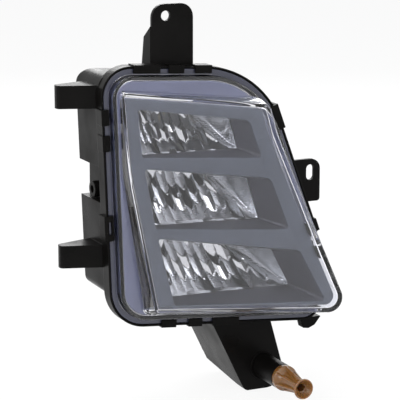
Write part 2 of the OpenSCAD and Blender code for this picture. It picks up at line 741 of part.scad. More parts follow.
// Screw bosses behind a bowl
boss_r = 2.2;
boss_u_shares = [0.12, 0.88];
boss_v_share = 0.22;
tap_r = 1.2;
module reflector(i) {
    color("#d9dbe0") place() difference() {
        union() {
            bowl(i);
            for (u = boss_u_shares)
                bar(bowl_at(i, u, boss_v_share), boss_r, bowl_y(u, boss_v_share) + bowl_t * 0.45, plate_y);
        }
        for (u = boss_u_shares)
            bar(bowl_at(i, u, boss_v_share), tap_r + fit_gap,
                bowl_y(u, boss_v_share) + bowl_t, plate_y + over);
    }
}
module reflector_top() { reflector(0); }
module reflector_middle() { reflector(1); }
module reflector_bottom() { reflector(2); }

module reflector_screws() {
    color("#8f9298") place() for (i = [0 : 2], u = boss_u_shares) {
        bar(bowl_at(i, u, boss_v_share), tap_r,
            bowl_y(u, boss_v_share) + bowl_t + free_gap, plate_back + tap_r);
        bar(bowl_at(i, u, boss_v_share), tap_r * 2, plate_back, plate_back + tap_r * 1.3);
    }
}

// Things laid along the upper edge of bowl i, z counted up from that edge
module along_top(i) {
    c = bowl_corners(i);
    translate([c[0].x, 0, c[0].y]) rotate([0, -atan2(c[1].y - c[0].y, c[1].x - c[0].x), 0]) children();
}
function top_len(i) = norm(bowl_corners(i)[1] - bowl_corners(i)[0]);
board_gap = 0.4;
shelf_front = bowl_back - bowl_d + bowl_t;
chip_y = bowl_back - bowl_d * 0.55;
board_d = 12;

module led_boards() {
    color("#1d5a3a") place() for (i = [0 : 2]) along_top(i) difference() {
        box([0, chip_y - board_d / 2, board_gap], [top_len(i), chip_y + board_d / 2, board_gap + board_t]);
        for (t = board_screw_shares)
            translate([top_len(i) * t, chip_y, 0]) cylinder(r = tap_r + fit_gap, h = shelf_t * 3);
    }
}
board_screw_shares = [0.06, 0.94];
chip_at_shares = [0.24, 0.4, 0.56];
module led_chips() {
    color("#e8d98a") place() for (i = [0 : 2], t = chip_at_shares) along_top(i)
        box([top_len(i) * t - chip_w / 2, chip_y - chip_w / 2, board_gap - chip_t],
            [top_len(i) * t + chip_w / 2, chip_y + chip_w / 2, board_gap]);
}
module board_screws() {
    color("#b9bcc2") place() for (i = [0 : 2], t = board_screw_shares) along_top(i)
        translate([top_len(i) * t, chip_y, board_gap]) {
            cylinder(r = tap_r, h = board_t + shelf_t * 0.9);
            translate([0, 0, -tap_r]) cylinder(r = tap_r * 1.7, h = tap_r);
        }
}

// Carrier

module carrier() {
    color("#a9abb0") place() difference() {
        union() {
            slab(plate_y, plate_back)
                polygon(rounded(scaled(carrier_corner_shares), carrier_r, arc_steps));
            for (i = [0 : 2]) along_top(i)
                box([0, shelf_front, board_gap + board_t],
                    [top_len(i), plate_y + over / 2, board_gap + board_t + shelf_t]);
            for (k = fin_shares)
                box([k * flange_w - shelf_t / 4, plate_back - over / 2, fin_z_shares[0] * flange_h],
                    [k * flange_w + shelf_t / 4, plate_back + fin_h, fin_z_shares[1] * flange_h]);
            carrier_ear(-ear_x);
            carrier_ear(ear_x - ear_t);
        }
        for (x = [-ear_x, ear_x - ear_t])
            cross_bar(pivot_y, pivot_z, pivot_r + run_gap, x - over, x + ear_t + over);
        // the plate stays clear of the lugs
        for (x = [-ear_x - flange_w, ear_x])
            box([x, plate_y - over, pivot_z - ear_r - lug_clear],
                [x + flange_w, plate_back + over, pivot_z + ear_r + lug_clear]);
        for (i = [0 : 2], u = boss_u_shares)
            bar(bowl_at(i, u, boss_v_share), tap_r + free_gap / 2, plate_y - over, plate_back + over);
        for (i = [0 : 2], t = board_screw_shares) along_top(i)
            translate([top_len(i) * t, chip_y, 0])
                cylinder(r = tap_r + fit_gap, h = board_gap + board_t + shelf_t + over);
        for (p = lever_screw_at) bar(p, tap_r + fit_gap, plate_y - over, plate_back + over);
        // room for the screw heads between the fins
        for (i = [0 : 2], u = boss_u_shares)
            bar(bowl_at(i, u, boss_v_share), tap_r * 2 + free_gap, plate_back, plate_back + fin_h + over);
    }
}
carrier_r = [5, 5, 5, 5, 5, 5];
fin_shares = [-0.2, -0.14, -0.08, -0.02, 0.04, 0.1, 0.16];
fin_z_shares = [-0.24, 0.28];
module carrier_ear(x0) {
    reach = ear_r * 1.4;
    box([x0, plate_y, pivot_z - reach], [x0 + ear_t, plate_back, pivot_z + reach]);
    box([x0, plate_back - over / 2, pivot_z - ear_r], [x0 + ear_t, pivot_y, pivot_z + ear_r]);
    cross_bar(pivot_y, pivot_z, ear_r, x0, x0 + ear_t);
}

module pivot_pins() {
    color("#9a9ca0") place() {
        cross_bar(pivot_y, pivot_z, pivot_r, -lug_x, -ear_x + ear_t + pin_over);
        cross_bar(pivot_y, pivot_z, pivot_r, ear_x - ear_t - pin_over, lug_x);
    }
}

// Lever down into the arm
lever_foot_z_share = -0.345;
lever_foot = [axis_x - fork_x - fork_t - wall * 2, lever_foot_z_share * flange_h];
lever_foot_half = [8, 7];
lever_screw_at = [lever_foot + [-lever_foot_half.x * 0.6, lever_foot_half.y * 0.4],
                  lever_foot + [lever_foot_half.x * 0.6, lever_foot_half.y * 0.4]];
lever_t = 3;
module aim_lever() {
    foot_low = lever_foot.y - lever_foot_half.y;
    foot_top = lever_foot.y + lever_foot_half.y;
    web_top = foot_low - lever_foot_half.y;
    web_x = axis_x - fork_x - fork_t - lever_t * 0.65;
    color("#3a3a3c") place() difference() {
        union() {
            box([lever_foot.x - lever_foot_half.x, plate_back, foot_low],
                [lever_foot.x + lever_foot_half.x, plate_back + lever_t, foot_top]);
            across(web_x, web_x + lever_t)
                polygon([[plate_back, foot_top], [plate_back + lever_t, foot_top],
                         [plate_back + lever_t, web_top], [nut_y + fork_half, bridge_z + bridge_t],
                         [nut_y + fork_half, bridge_z], [nut_y - fork_half, bridge_z],
                         [nut_y - fork_half, bridge_z + bridge_t], [plate_back - lever_t * 2, web_top],
                         [plate_back, foot_low]]);
            box([web_x, nut_y - fork_half, bridge_z],
                [axis_x + fork_x + fork_t, nut_y + fork_half, bridge_z + bridge_t]);
            for (x = [axis_x - fork_x - fork_t, axis_x + fork_x])
                box([x, nut_y - fork_half, axis_z - fork_half],
                    [x + fork_t, nut_y + fork_half, bridge_z + bridge_t / 2]);
        }
        // open slots that straddle the nut's side pins
        box([axis_x - fork_x - fork_t * 3, nut_y - fork_slot, axis_z - fork_half - over],
            [axis_x + fork_x + fork_t * 3, nut_y + fork_slot, axis_z + fork_half]);
        for (p = lever_screw_at)
            bar(p, tap_r + free_gap / 2, plate_back - over, plate_back + lever_t + over);
    }
}
module lever_screws() {
    color("#8f9298") place() for (p = lever_screw_at) {
        bar(p, tap_r, plate_y + free_gap, plate_back + lever_t + tap_r / 2);
        bar(p, tap_r * 2, plate_back + lever_t, plate_back + lever_t + tap_r * 1.3);
    }
}

// Adjuster

head_len = 28;
mouth_r = 6.4;
neck_r = 3.8;
waist_r = 4.9;                              // radius half way along, between the ribs
mouth_len = 3.2;
ring_t = 3.4;
socket_d = 12;
module adjuster_head() {
    front = tube_front - head_len;
    color("#b98442") place() difference() {
        union() {
            translate([axis_x, front, axis_z]) rotate([-90, 0, 0]) rotate_extrude() polygon([
                [0, 0], [mouth_r, 0], [mouth_r, mouth_len * 0.4], [neck_r, mouth_len * 2],
                [neck_r, mouth_len * 2.6], [waist_r, head_len * 0.58],
                [tube_r + 0.4 * run_gap, head_len - ring_t - free_gap],
                [tube_r + 0.4 * run_gap, head_len - free_gap], [spigot_r, head_len - free_gap],
                [spigot_r, head_len + spigot_len], [0, head_len + spigot_len]]);
            // ribs between the neck and the ring
            for (a = [0 : 60 : 300]) translate([axis_x, 0, axis_z]) rotate([0, a, 0])
                across(-rib_t / 2, rib_t / 2) polygon([
                    [front + mouth_len, 0], [front + mouth_len, neck_r * 1.3],
                    [front + head_len - ring_t * 1.2, tube_r], [front + head_len - ring_t, 0]]);
        }
        // funnel, driver socket and the hole for the screw's end
        translate([axis_x, front - over / 100, axis_z]) rotate([-90, 0, 0])
            cylinder(r1 = mouth_r * 0.85, r2 = socket_r, h = mouth_len * 1.2);
        bar([axis_x, axis_z], socket_r, front, front + socket_d + mouth_len);
        bar([axis_x, axis_z], rod_r + fit_gap, front + socket_d, tube_front + spigot_len + over);
        translate([axis_x, tube_front + spigot_len / 2, axis_z]) rotate([-90, 0, 0]) rotate_extrude()
            translate([spigot_r, 0]) circle(r = oring_r + fit_gap);
    }
}
rib_t = 1.4;
oring_r = 0.9;
module adjuster_oring() {
    color("#111111") place() translate([axis_x, tube_front + spigot_len / 2, axis_z]) rotate([-90, 0, 0])
        difference() {
            rotate_extrude() translate([spigot_r, 0]) circle(r = oring_r - fit_gap);
            difference() {
                cylinder(r = spigot_r * 2, h = oring_r * 3, center = true);
                cylinder(r = spigot_r - fit_gap, h = oring_r * 4, center = true);
            }
        }
}
rod_end = arm_back - wall * 1.5;
module adjuster_rod() {
    color("#a8a69a") place() difference() {
        bar([axis_x, axis_z], rod_r, tube_front - head_len + socket_d + mouth_len, rod_end);
        // groove for the clip
        translate([axis_x, clip_y, axis_z]) rotate([-90, 0, 0]) difference() {
            cylinder(r = rod_r + over, h = clip_t);
            translate([0, 0, -over]) cylinder(r = rod_r * 0.8, h = clip_t + over * 2);
        }
    }
}
clip_t = 1;
clip_y = arm_y + arm_wall + free_gap;
module rod_clip() {
    color("#7c7f85") place() translate([axis_x, clip_y + fit_gap, axis_z]) rotate([-90, 0, 0]) difference() {
        cylinder(r = rod_r * 1.8, h = clip_t - fit_gap * 2);
        translate([0, 0, -over]) cylinder(r = rod_r * 0.8 + fit_gap, h = clip_t + over * 2);
        translate([-rod_r * 0.7, 0, -over]) cube([rod_r * 1.4, rod_r * 3, clip_t + over * 2]);
    }
}
module adjuster_nut() {
    color("#d8d4c6") place() difference() {
        union() {
            box([axis_x - nut_half.x, nut_y - nut_half.y, axis_z - nut_half.z],
                [axis_x + nut_half.x, nut_y + nut_half.y, axis_z + nut_half.z]);
            cross_bar(nut_y, axis_z, pin_r, axis_x - nut_half.x - pin_len, axis_x + nut_half.x + pin_len);
        }
        bar([axis_x, axis_z], rod_r + run_gap, nut_y - nut_half.y - over, nut_y + nut_half.y + over);
    }
}
module arm_cover() {
    cover_y = arm_back + seat_gap / 2;
    color("#2a2826") place() difference() {
        union() {
            difference() {
                slab(cover_y, cover_y + wall) arm_outline(0);
                arm_underside(0);
            }
            bar([axis_x, axis_z], rod_r + wall * 0.6, arm_back - wall * 3, cover_y + wall / 2);
        }
        bar([axis_x, axis_z], rod_r + run_gap, arm_back - wall * 3 - over, arm_back - wall * 0.8);
        for (p = arm_screw_at) bar(p, screw_r + free_gap / 2, arm_back, cover_y + wall + over);
    }
}
module arm_cover_screws() {
    color("#8f9298") place() for (p = arm_screw_at)
        screw(p, arm_back + seat_gap / 2 + wall, screw_len, screw_r - wall / 10);
}
// Pan-head screw driven forwards from depth y
module screw(p, y, length, r) {
    difference() {
        union() {
            bar(p, r, y - length, y + screw_head_h / 2);
            bar(p, screw_head_r, y, y + screw_head_h);
        }
        for (a = [0, 90]) translate([p.x, y + screw_head_h * 0.6, p.y]) rotate([0, a, 0])
            box([-screw_head_r * 0.6, 0, -screw_head_r * 0.12],
                [screw_head_r * 0.6, screw_head_h, screw_head_r * 0.12]);
    }
}

// Rear cover, driver and connector

module cover_outline(g) {
    half = [cover_half + g, cover_half + g];
    pad(cover_mid - half, cover_mid + half, cover_r + g);
}
module rear_cover() {
    color("#2a2826") place() difference() {
        union() {
            slab(seat_y, cover_back) cover_outline(-cover_lip / 2);
            slab(seat_y, seat_y + cover_lip_t) cover_outline(cover_lip / 2);
            for (p = cover_screw_at) bar(p, screw_head_r + cover_t * 0.7, seat_y, seat_y + cover_lip_t);
            // cooling ribs across the back
            for (k = [-3 : 3]) let (z = cover_mid.y + k * cover_half * 0.22)
                box([cover_mid.x - cover_half * 0.75, cover_back - over / 2, z],
                    [cover_mid.x + cover_half * 0.75, cover_back + cover_t, z + cover_t * 0.7]);
        }
        slab(seat_y - over, cover_back - cover_t) cover_outline(-cover_lip / 2 - cover_t);
        slab(seat_y - over, seat_y + groove_t) difference() {
            cover_outline(-cover_lip / 2 + groove_w / 2);
            cover_outline(-cover_lip / 2 - groove_w / 2);
        }
        for (p = cover_screw_at) bar(p, screw_r + free_gap / 2, seat_y - over, seat_y + cover_lip_t + over);
        // cut-out for the connector
        box([plug_mid.x - plug_w / 2, plug_mid.y - plug_d / 2, cover_mid.y - cover_half - over],
            [plug_mid.x + plug_w / 2, plug_mid.y + plug_d / 2, cover_mid.y - cover_half + cover_lip * 1.5]);
    }
    // posts that carry the driver board
    color("#2a2826") place() for (p = post_at)
        bar(p, post_r, cover_back - cover_t - post_len, cover_back - cover_t);
}
post_at = [for (sx = [-1, 1], sz = [-1, 1]) cover_mid + [sx, sz] * cover_half * 0.62];
module rear_cover_seal() {
    color("#161616") place() slab(seat_y, seat_y + groove_t - seat_gap) difference() {
        cover_outline(-cover_lip / 2 + groove_w / 2 - seat_gap);
        cover_outline(-cover_lip / 2 - groove_w / 2 + seat_gap);
    }
}
module rear_cover_screws() {
    color("#8f9298") place() for (p = cover_screw_at)
        screw(p, seat_y + cover_lip_t, cover_lip_t + wall * 0.8, screw_r);
}
driver_back = cover_back - cover_t - post_len;
module driver_board() {
    h = cover_half * 0.74;
    color("#1d5a3a") place() slab(driver_back - board_t, driver_back)
        pad(cover_mid - [h, h], cover_mid + [h, h], wall);
}
module driver_parts() {
    front = driver_back - board_t;
    color("#2c2c30") place() {
        bar(cover_mid + [cover_half * 0.35, cover_half * 0.3], coil_r, front - coil_r, front);
        bar(cover_mid + [-cover_half * 0.3, cover_half * 0.35], coil_r * 0.7, front - coil_r * 1.2, front);
        box([cover_mid.x - coil_r, front - wall, cover_mid.y - coil_r],
            [cover_mid.x + coil_r, front, cover_mid.y + coil_r]);
        box([cover_mid.x + coil_r * 1.5, front - wall, cover_mid.y - coil_r * 2],
            [cover_mid.x + coil_r * 2.2, front, cover_mid.y - coil_r * 0.6]);
    }
}
coil_r = 5;

plug_x_share = -0.02;
plug_len = 20;
plug_t = 1.5;
plug_mid = [plug_x_share * flange_w, seat_y + cover_lip_t + seat_gap + plug_t + plug_d / 2];
plug_top = cover_mid.y - cover_half + cover_lip / 2;
module connector_socket() {
    low = plug_top - plug_len;
    hx = plug_w / 2;
    hy = plug_d / 2;
    color("#3c3c40") place() difference() {
        union() {
            box([plug_mid.x - hx - plug_t, plug_mid.y - hy - plug_t, low],
                [plug_mid.x + hx + plug_t, plug_mid.y + hy + plug_t, plug_top - seat_gap]);
            // plug of the socket that sits in the cover's cut-out
            box([plug_mid.x - hx + fit_gap, plug_mid.y - hy + fit_gap, plug_top - over],
                [plug_mid.x + hx - fit_gap, plug_mid.y + hy - fit_gap, plug_top + cover_t * 1.4]);
            // latch ramp
            across(plug_mid.x - hx * 0.3, plug_mid.x + hx * 0.3) polygon([
                [plug_mid.y + hy, low + plug_t], [plug_mid.y + hy + plug_t * 2, low + plug_t * 3],
                [plug_mid.y + hy, low + plug_t * 3]]);
        }
        box([plug_mid.x - hx, plug_mid.y - hy, low - over],
            [plug_mid.x + hx, plug_mid.y + hy, plug_top - plug_t * 2.5]);
        for (x = pin_at) let (half = pin_w / 2 + fit_gap)
            box([x - half, plug_mid.y - half, low], [x + half, plug_mid.y + half, plug_top + cover_t * 2]);
    }
}
pin_w = 1;
pin_at_shares = [-0.25, 0.25];
pin_at = [for (s = pin_at_shares) plug_mid.x + s * plug_w];
module terminal_pins() {
    color("#c9a54a") place() for (x = pin_at)
        box([x - pin_w / 2, plug_mid.y - pin_w / 2, plug_top - plug_len * 0.55],
            [x + pin_w / 2, plug_mid.y + pin_w / 2, plug_top + cover_t * 2.4]);
}
module vent_cap() {
    color("#1a1a1a") place() {
        bar(vent_at, vent_r, seat_y, seat_y + wall * 1.6);
        bar(vent_at, vent_r / 2 - fit_gap, cavity_back, seat_y + wall / 2);
        for (a = [0 : 45 : 315]) translate([vent_at.x, seat_y, vent_at.y]) rotate([0, a, 0])
            box([vent_r * 0.8, wall * 0.3, -wall / 4], [vent_r * 1.12, wall * 1.3, wall / 4]);
    }
}

housing();
lens();
lens_seal();
bezel();
carrier();
reflector_top();
reflector_middle();
reflector_bottom();
led_boards();
led_chips();
board_screws();
reflector_screws();
pivot_pins();
aim_lever();
lever_screws();
adjuster_head();
adjuster_rod();
adjuster_oring();
rod_clip();
adjuster_nut();
arm_cover();
arm_cover_screws();
rear_cover();
rear_cover_seal();
rear_cover_screws();
driver_board();
driver_parts();
connector_socket();
terminal_pins();
vent_cap();
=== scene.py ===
# %% [markdown]
# # A driving lamp in its housing
# The lamp is a black moulded housing with a clear stepped lens bonded into its front.
# Behind the lens lie a grey bezel with three slanted windows and three fluted mirror bowls.
# The solid model is loaded first, as a fixed frame. Everything made here is placed on it by number,
# because a real lamp's trim is also drawn on the solid model of the housing, and not by eye.

# %% Load the solid model
import math
import bmesh
import bpy
from mathutils import Vector, Matrix, geometry


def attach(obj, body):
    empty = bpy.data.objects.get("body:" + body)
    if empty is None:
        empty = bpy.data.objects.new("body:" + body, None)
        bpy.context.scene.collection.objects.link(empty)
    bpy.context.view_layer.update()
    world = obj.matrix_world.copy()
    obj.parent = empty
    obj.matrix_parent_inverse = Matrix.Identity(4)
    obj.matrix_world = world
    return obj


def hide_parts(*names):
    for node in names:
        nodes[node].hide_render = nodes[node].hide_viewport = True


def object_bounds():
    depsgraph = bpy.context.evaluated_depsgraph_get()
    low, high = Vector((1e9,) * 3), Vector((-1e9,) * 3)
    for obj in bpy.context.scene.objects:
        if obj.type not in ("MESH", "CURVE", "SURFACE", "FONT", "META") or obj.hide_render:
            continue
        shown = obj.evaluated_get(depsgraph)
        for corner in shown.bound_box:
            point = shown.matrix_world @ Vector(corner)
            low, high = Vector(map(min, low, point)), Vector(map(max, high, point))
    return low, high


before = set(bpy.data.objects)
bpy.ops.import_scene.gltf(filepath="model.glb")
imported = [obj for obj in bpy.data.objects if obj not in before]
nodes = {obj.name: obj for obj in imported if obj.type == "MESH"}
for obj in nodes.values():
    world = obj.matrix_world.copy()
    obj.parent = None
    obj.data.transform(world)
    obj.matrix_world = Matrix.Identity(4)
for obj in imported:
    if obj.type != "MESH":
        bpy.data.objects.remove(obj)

cad_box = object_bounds()

# %% [markdown]
# ## The lamp's own measures
# All the moulded parts share one flange outline and one slanting face, so their corners are written
# once, in millimetres from the lamp's own datum: the front edge of the flange, level with its middle.
# A designer would keep such outlines as sketches. Here they are short lists of corners (x, z), clockwise
# as seen from the front, which keeps the lens, the bezel and the bowls in step with each other.

# %% Datum and outlines
MM = 0.001
DATUM = Vector((19.6, -6.0, -112.0998))      # the datum as seen from the top fixing hole
FLANGE = [(-64.35, 85.17), (42.15, 79.39), (81.0, -25.16), (85.5, -85.0), (-58.8, -73.44)]
FLANGE_R = [18, 60, 14, 12, 24]
FACE = [(-55.05, 70.21), (37.8, 58.65), (42.0, 40.97), (69.0, -27.03), (88.05, -72.76), (-37.95, -62.39),
        (-52.5, 21.93)]
FACE_R = [3, 6, 60, 30, 9, 3, 120]
FOOT = [(-57.45, 73.95), (39.45, 63.41), (49.05, 40.97), (74.55, -27.03), (82.95, -78.03), (-41.55, -68.68),
        (-56.55, 21.93)]
FOOT_R = [6, 7, 60, 16, 12, 6, 120]
WINDOWS = [[(-43.35, 59.16), (26.25, 49.3), (33.9, 26.01), (-41.55, 30.77)],
           [(-40.2, 23.97), (39.15, 13.26), (50.85, -19.04), (-34.35, -12.41)],
           [(-33.45, -18.02), (57.15, -32.47), (73.95, -65.62), (-24.0, -59.5)]]
THROATS = [[(-40.5, 58.14), (18.9, 49.13), (24.15, 30.26), (-38.25, 31.28)],
           [(-36.45, 22.1), (31.2, 11.39), (38.85, -14.45), (-30.3, -12.24)],
           [(-28.05, -21.25), (47.85, -35.19), (60.15, -58.99), (-19.95, -57.46)]]
FACE_DEPTH = 19.65                            # how far the slanting face stands before the datum
FACE_SLOPE_X, FACE_SLOPE_Z = 0.09, 0.063      # it comes forward to the right and downwards


def face_y(p, back=0.0):
    """Depth of the slanting face at (x, z), moved back by some millimetres."""
    return back - FACE_DEPTH - FACE_SLOPE_X * p[0] + FACE_SLOPE_Z * p[1]


print("flange corners:", len(FLANGE), "- face at the datum:", face_y((0, 0)), "mm")

# %% [markdown]
# ## Setting in and rounding an outline
# A moulded outline has no sharp corner: each one is an arc that touches both of its sides. A bevel on
# the finished mesh could round it, but then an inner wall wouldn't run parallel to the outer one.
# So the corners are set in first, as a toolmaker offsets a sketch, and only then rounded.

# %% Setting in and rounding
ARC = 14                                      # steps round each corner


def right_of(a, b):
    """Unit vector to the right of the way from a to b, which is inwards on a clockwise outline."""
    d = Vector((b[0] - a[0], b[1] - a[1])).normalized()
    return Vector((d.y, -d.x))


def inset(corners, s):
    """Corners of a clockwise outline moved inwards by s."""
    out = []
    n = len(corners)
    for i in range(n):
        a, b, c = (Vector(corners[(i + k) % n]) for k in (-1, 0, 1))
        p, q = a + s * right_of(a, b), b + s * right_of(b, c)
        d, e = b - a, c - b
        cross = d.x * e.y - d.y * e.x
        w = q - p
        out.append(p + d * ((w.x * e.y - w.y * e.x) / cross))
    return out


def rounded(corners, radii, steps=ARC):
    """Points of an outline whose corners are rounded."""
    out = []
    n = len(corners)
    for i in range(n):
        a, b, c = (Vector(corners[(i + k) % n]) for k in (-1, 0, 1))
        u, v = (a - b).normalized(), (c - b).normalized()
        r = radii[i]
        half = math.acos(max(-1, min(1, u.dot(v)))) / 2
        centre = b + (u + v).normalized() * r / math.sin(half)
        p, q = b + u * r / math.tan(half) - centre, b + v * r / math.tan(half) - centre
        sweep = math.atan2(p.x * q.y - p.y * q.x, p.dot(q))
        start = math.atan2(p.y, p.x)
        for k in range(steps + 1):
            t = start + sweep * k / steps
            out.append(centre + r * Vector((math.cos(t), math.sin(t))))
    return out


def flange(s, steps=ARC):
    """The flange's rounded outline, set in by s."""
    return rounded(inset(FLANGE, s), [r - s for r in FLANGE_R], steps)


def lay(points, y):
    """Outline laid at one depth, or on the slanting face when y is a function."""
    return [Vector((p[0], y(p) if callable(y) else y, p[1])) for p in points]


print("flange outline:", len(flange(0)), "points")

# %% [markdown]
# ## Building in rings
# Each moulding is drawn as rings that follow one another over its surface, like the contour lines
# that a toolmaker would cut. Box modelling would also get there, but rings put a point exactly where
# an outline asks for one, and a few extra rings round an edge make light catch there as on plastic.

# %% Ring builder
WELD = 2e-6                                   # points closer than this are one point, in metres


class Skin:
    """A mesh in the lamp's millimetres, made of rings, bridges and flat fills."""

    def __init__(self):
        self.points, self.faces = [], []
        self.kinds = {}                       # material slot of a face, by the face's number

    def ring(self, pts):
        first = len(self.points)
        self.points += [Vector(p) for p in pts]
        return list(range(first, first + len(pts)))

    def bridge(self, a, b, closed=True):
        n = len(a)
        for i in range(n if closed else n - 1):
            j = (i + 1) % n
            self.faces.append((a[i], a[j], b[j], b[i]))

    def rings(self, list_of_pts):
        """A closed body: rings one after another, with the first and the last filled flat."""
        ids = [self.ring(p) for p in list_of_pts]
        for a, b in zip(ids, ids[1:]):
            self.bridge(a, b)
        self.faces.append(tuple(ids[0]))
        self.faces.append(tuple(ids[-1][::-1]))

    def make(self, name, sharp=35):
        mesh = bpy.data.meshes.new(name)
        mesh.from_pydata([(p + DATUM) * MM for p in self.points], [], self.faces)
        for n, kind in self.kinds.items():
            mesh.polygons[n].material_index = kind
        bm = bmesh.new()
        bm.from_mesh(mesh)
        bmesh.ops.remove_doubles(bm, verts=bm.verts, dist=WELD)
        bmesh.ops.recalc_face_normals(bm, faces=bm.faces)
        bm.to_mesh(mesh)
        bm.free()
        obj = bpy.data.objects.new(name, mesh)
        bpy.context.scene.collection.objects.link(obj)
        smooth(obj, sharp)
        return obj


def smooth(obj, sharp=35):
    """Shades a piece smooth, and keeps edges crisp that turn by more than so many degrees."""
    for f in obj.data.polygons:
        f.use_smooth = True
    obj.data.set_sharp_from_angle(angle=math.radians(sharp))


def solid(name, rings, sharp=35):
    skin = Skin()
    skin.rings(rings)
    return skin.make(name, sharp)


def prism(name, outline, y0, y1):
    return solid(name, [lay(outline, y0), lay(outline, y1)])


print("ring builder ready")

# %% [markdown]
# ## Joining and cutting
# A moulding tool has two halves: one gives the outside, the other the hollow. The same is done here
# with closed bodies, of which some are joined and others cut away. The exact solver is slower than the
# fast one, but it leaves no cracks where two walls meet at a shallow angle, as they do on this lens.

# %% Joining and cutting, and the two forms that all mouldings share
FOOT_Y = 3.8                                  # depth at which the walls of the raised block would end
TIGHTEST, TIGHTEST_IN = 4, 5                  # a set-in corner keeps at least 1 part in so many of its radius


def boolean(obj, other, operation):
    """Joins obj with other or cuts it, and then throws the other away."""
    mod = obj.modifiers.new("cut", "BOOLEAN")
    mod.operation, mod.object, mod.solver = operation, other, "EXACT"
    bpy.context.view_layer.update()
    deps = bpy.context.evaluated_depsgraph_get()
    mesh = bpy.data.meshes.new_from_object(obj.evaluated_get(deps))
    obj.modifiers.clear()
    old, obj.data = obj.data, mesh
    bpy.data.meshes.remove(old)
    bpy.data.objects.remove(other)
    return obj


def block_rings(s, back, edge, foot=FOOT_Y, steps=ARC, turns=5):
    """Rings of the raised block set in by s: slanting face, rounded edge, walls down to depth foot."""
    top = lay(rounded(inset(FACE, s), [max(r - s, r / TIGHTEST) for r in FACE_R], steps),
              lambda p: face_y(p, back))
    inner = lay(rounded(inset(FACE, s + edge), [max(r - s - edge, r / TIGHTEST_IN) for r in FACE_R], steps),
                lambda p: face_y(p, back))
    low = lay(rounded(inset(FOOT, s), [max(r - s, r / TIGHTEST) for r in FOOT_R], steps), FOOT_Y)
    down = [(b - a) * min(1, edge / (b - a).length) for a, b in zip(top, low)]
    rings = []
    for k in range(turns + 1):
        t = k / turns
        rings.append([i * (1 - t) ** 2 + 2 * t * (1 - t) * p + t * t * (p + d)
                      for i, p, d in zip(inner, top, down)])
    rings.append([p + (b - p) * (foot - p.y) / (b.y - p.y) for p, b in zip(top, low)])
    return rings


def step_rings(s, front, edge, back, slope=0.0, steps=ARC, turns=5):
    """Rings of a plate on the flange outline: flat front, rounded edge, wall back to depth back."""
    rings = []
    for k in range(turns + 1):
        t = math.pi / 2 * k / turns
        rings.append(lay(flange(s + edge * (1 - math.sin(t)), steps), front + edge * (1 - math.cos(t))))
    rings.append(lay(flange(s - slope * (back - front), steps), back))
    return rings


print("block:", len(block_rings(0, 0, 1)), "rings, step:", len(step_rings(0, 0, 1, 2)), "rings")

# %% [markdown]
# ## Camera
# The photograph looks at the lamp from its left and a little from above, through a long lens.
# A wide lens close by would make the near side larger. The long one keeps the flange's edges nearly
# parallel, so the camera stands 1.1 m away.

# %% Camera
AZIMUTH, ELEVATION, DISTANCE = math.radians(-25), math.radians(12), 1.1
LENS_MM, SENSOR_MM = 163.35, 36
FARTHEST = 60                                 # metres, past the far edge of the floor

aim = (Vector((0, 0, 0)) + DATUM) * MM
back = Vector((math.sin(AZIMUTH) * math.cos(ELEVATION), -math.cos(AZIMUTH) * math.cos(ELEVATION),
               math.sin(ELEVATION)))
side = Vector((math.cos(AZIMUTH), math.sin(AZIMUTH), 0))
up = back.cross(side)
camera_data = bpy.data.cameras.new("camera")
camera_data.lens = LENS_MM
camera_data.sensor_width = SENSOR_MM
camera_data.clip_end = FARTHEST
camera = bpy.data.objects.new("camera", camera_data)
bpy.context.scene.collection.objects.link(camera)
looking = Matrix((side, up, back)).transposed().to_4x4()
camera.matrix_world = Matrix.Translation(aim + back * DISTANCE) @ looking
bpy.context.scene.camera = camera
bpy.context.scene.view_settings.view_transform = "Standard"
print("camera at", [round(c, 3) for c in camera.matrix_world.translation])

# %% [markdown]
# ## Node trees in code
# Floor, studio and every finish below are small trees of shader nodes. They could be drawn by hand in
# Blender's shader editor, but a script repeats them exactly. One helper adds a node, sets its values and
# links its inputs, so that each node of a tree takes one line.

# %% Node trees in code
def adder(tree):
    """A function that adds a node to a tree, sets it and links it."""
    def add(kind, links=None, **values):
        node = tree.nodes.new("ShaderNode" + kind)
        for key, value in values.items():
            setattr(node, key, value)
        for socket, source in (links or {}).items():
            target = node.inputs[socket]
            if isinstance(source, bpy.types.NodeSocket):
                tree.links.new(source, target)
            else:
                target.default_value = source
        return node
    return add


def node_material(name):
    """An empty material with its output, and a function that adds and links nodes."""
    mat = bpy.data.materials.new(name)
    mat.use_nodes = True
    tree = mat.node_tree
    tree.nodes.clear()
    return mat, tree, tree.nodes.new("ShaderNodeOutputMaterial"), adder(tree)


print("node helpers ready")

# %% [markdown]
# ## White floor and studio
# A product table is a pale sheet, and it prints as pure white. Strong lamps would do that, but they
# would also wash out the lamp. So floor and walls glow white only where the camera sees them, also in
# a mirror or through the clear lens. For the light on matt surfaces they are a plain grey studio.

# %% Floor and walls
FLOOR_GAP = 0.0006
FLOOR_Z = cad_box[0][2] - FLOOR_GAP
FLOOR_SIZE = 24                               # metres
GLOW_SHARE = 0.9                              # how white the floor is where the camera sees it
WALL_LIGHT, CEILING_LIGHT = 0.12, 0.6
WALL_Z, CEILING_Z = -0.25, 0.75               # between these directions the walls turn into ceiling


def seen(add):
    """1 for what the camera sees, straight, mirrored or through the lens, and 0 for light on matt faces."""
    path = add("LightPath")
    straight, mirrored, through = (path.outputs[name] for name in
                                   ("Is Camera Ray", "Is Glossy Ray", "Is Transmission Ray"))
    either = add("Math", {0: straight, 1: mirrored}, operation="MAXIMUM")
    return add("Math", {0: either.outputs[0], 1: through}, operation="MAXIMUM").outputs[0]


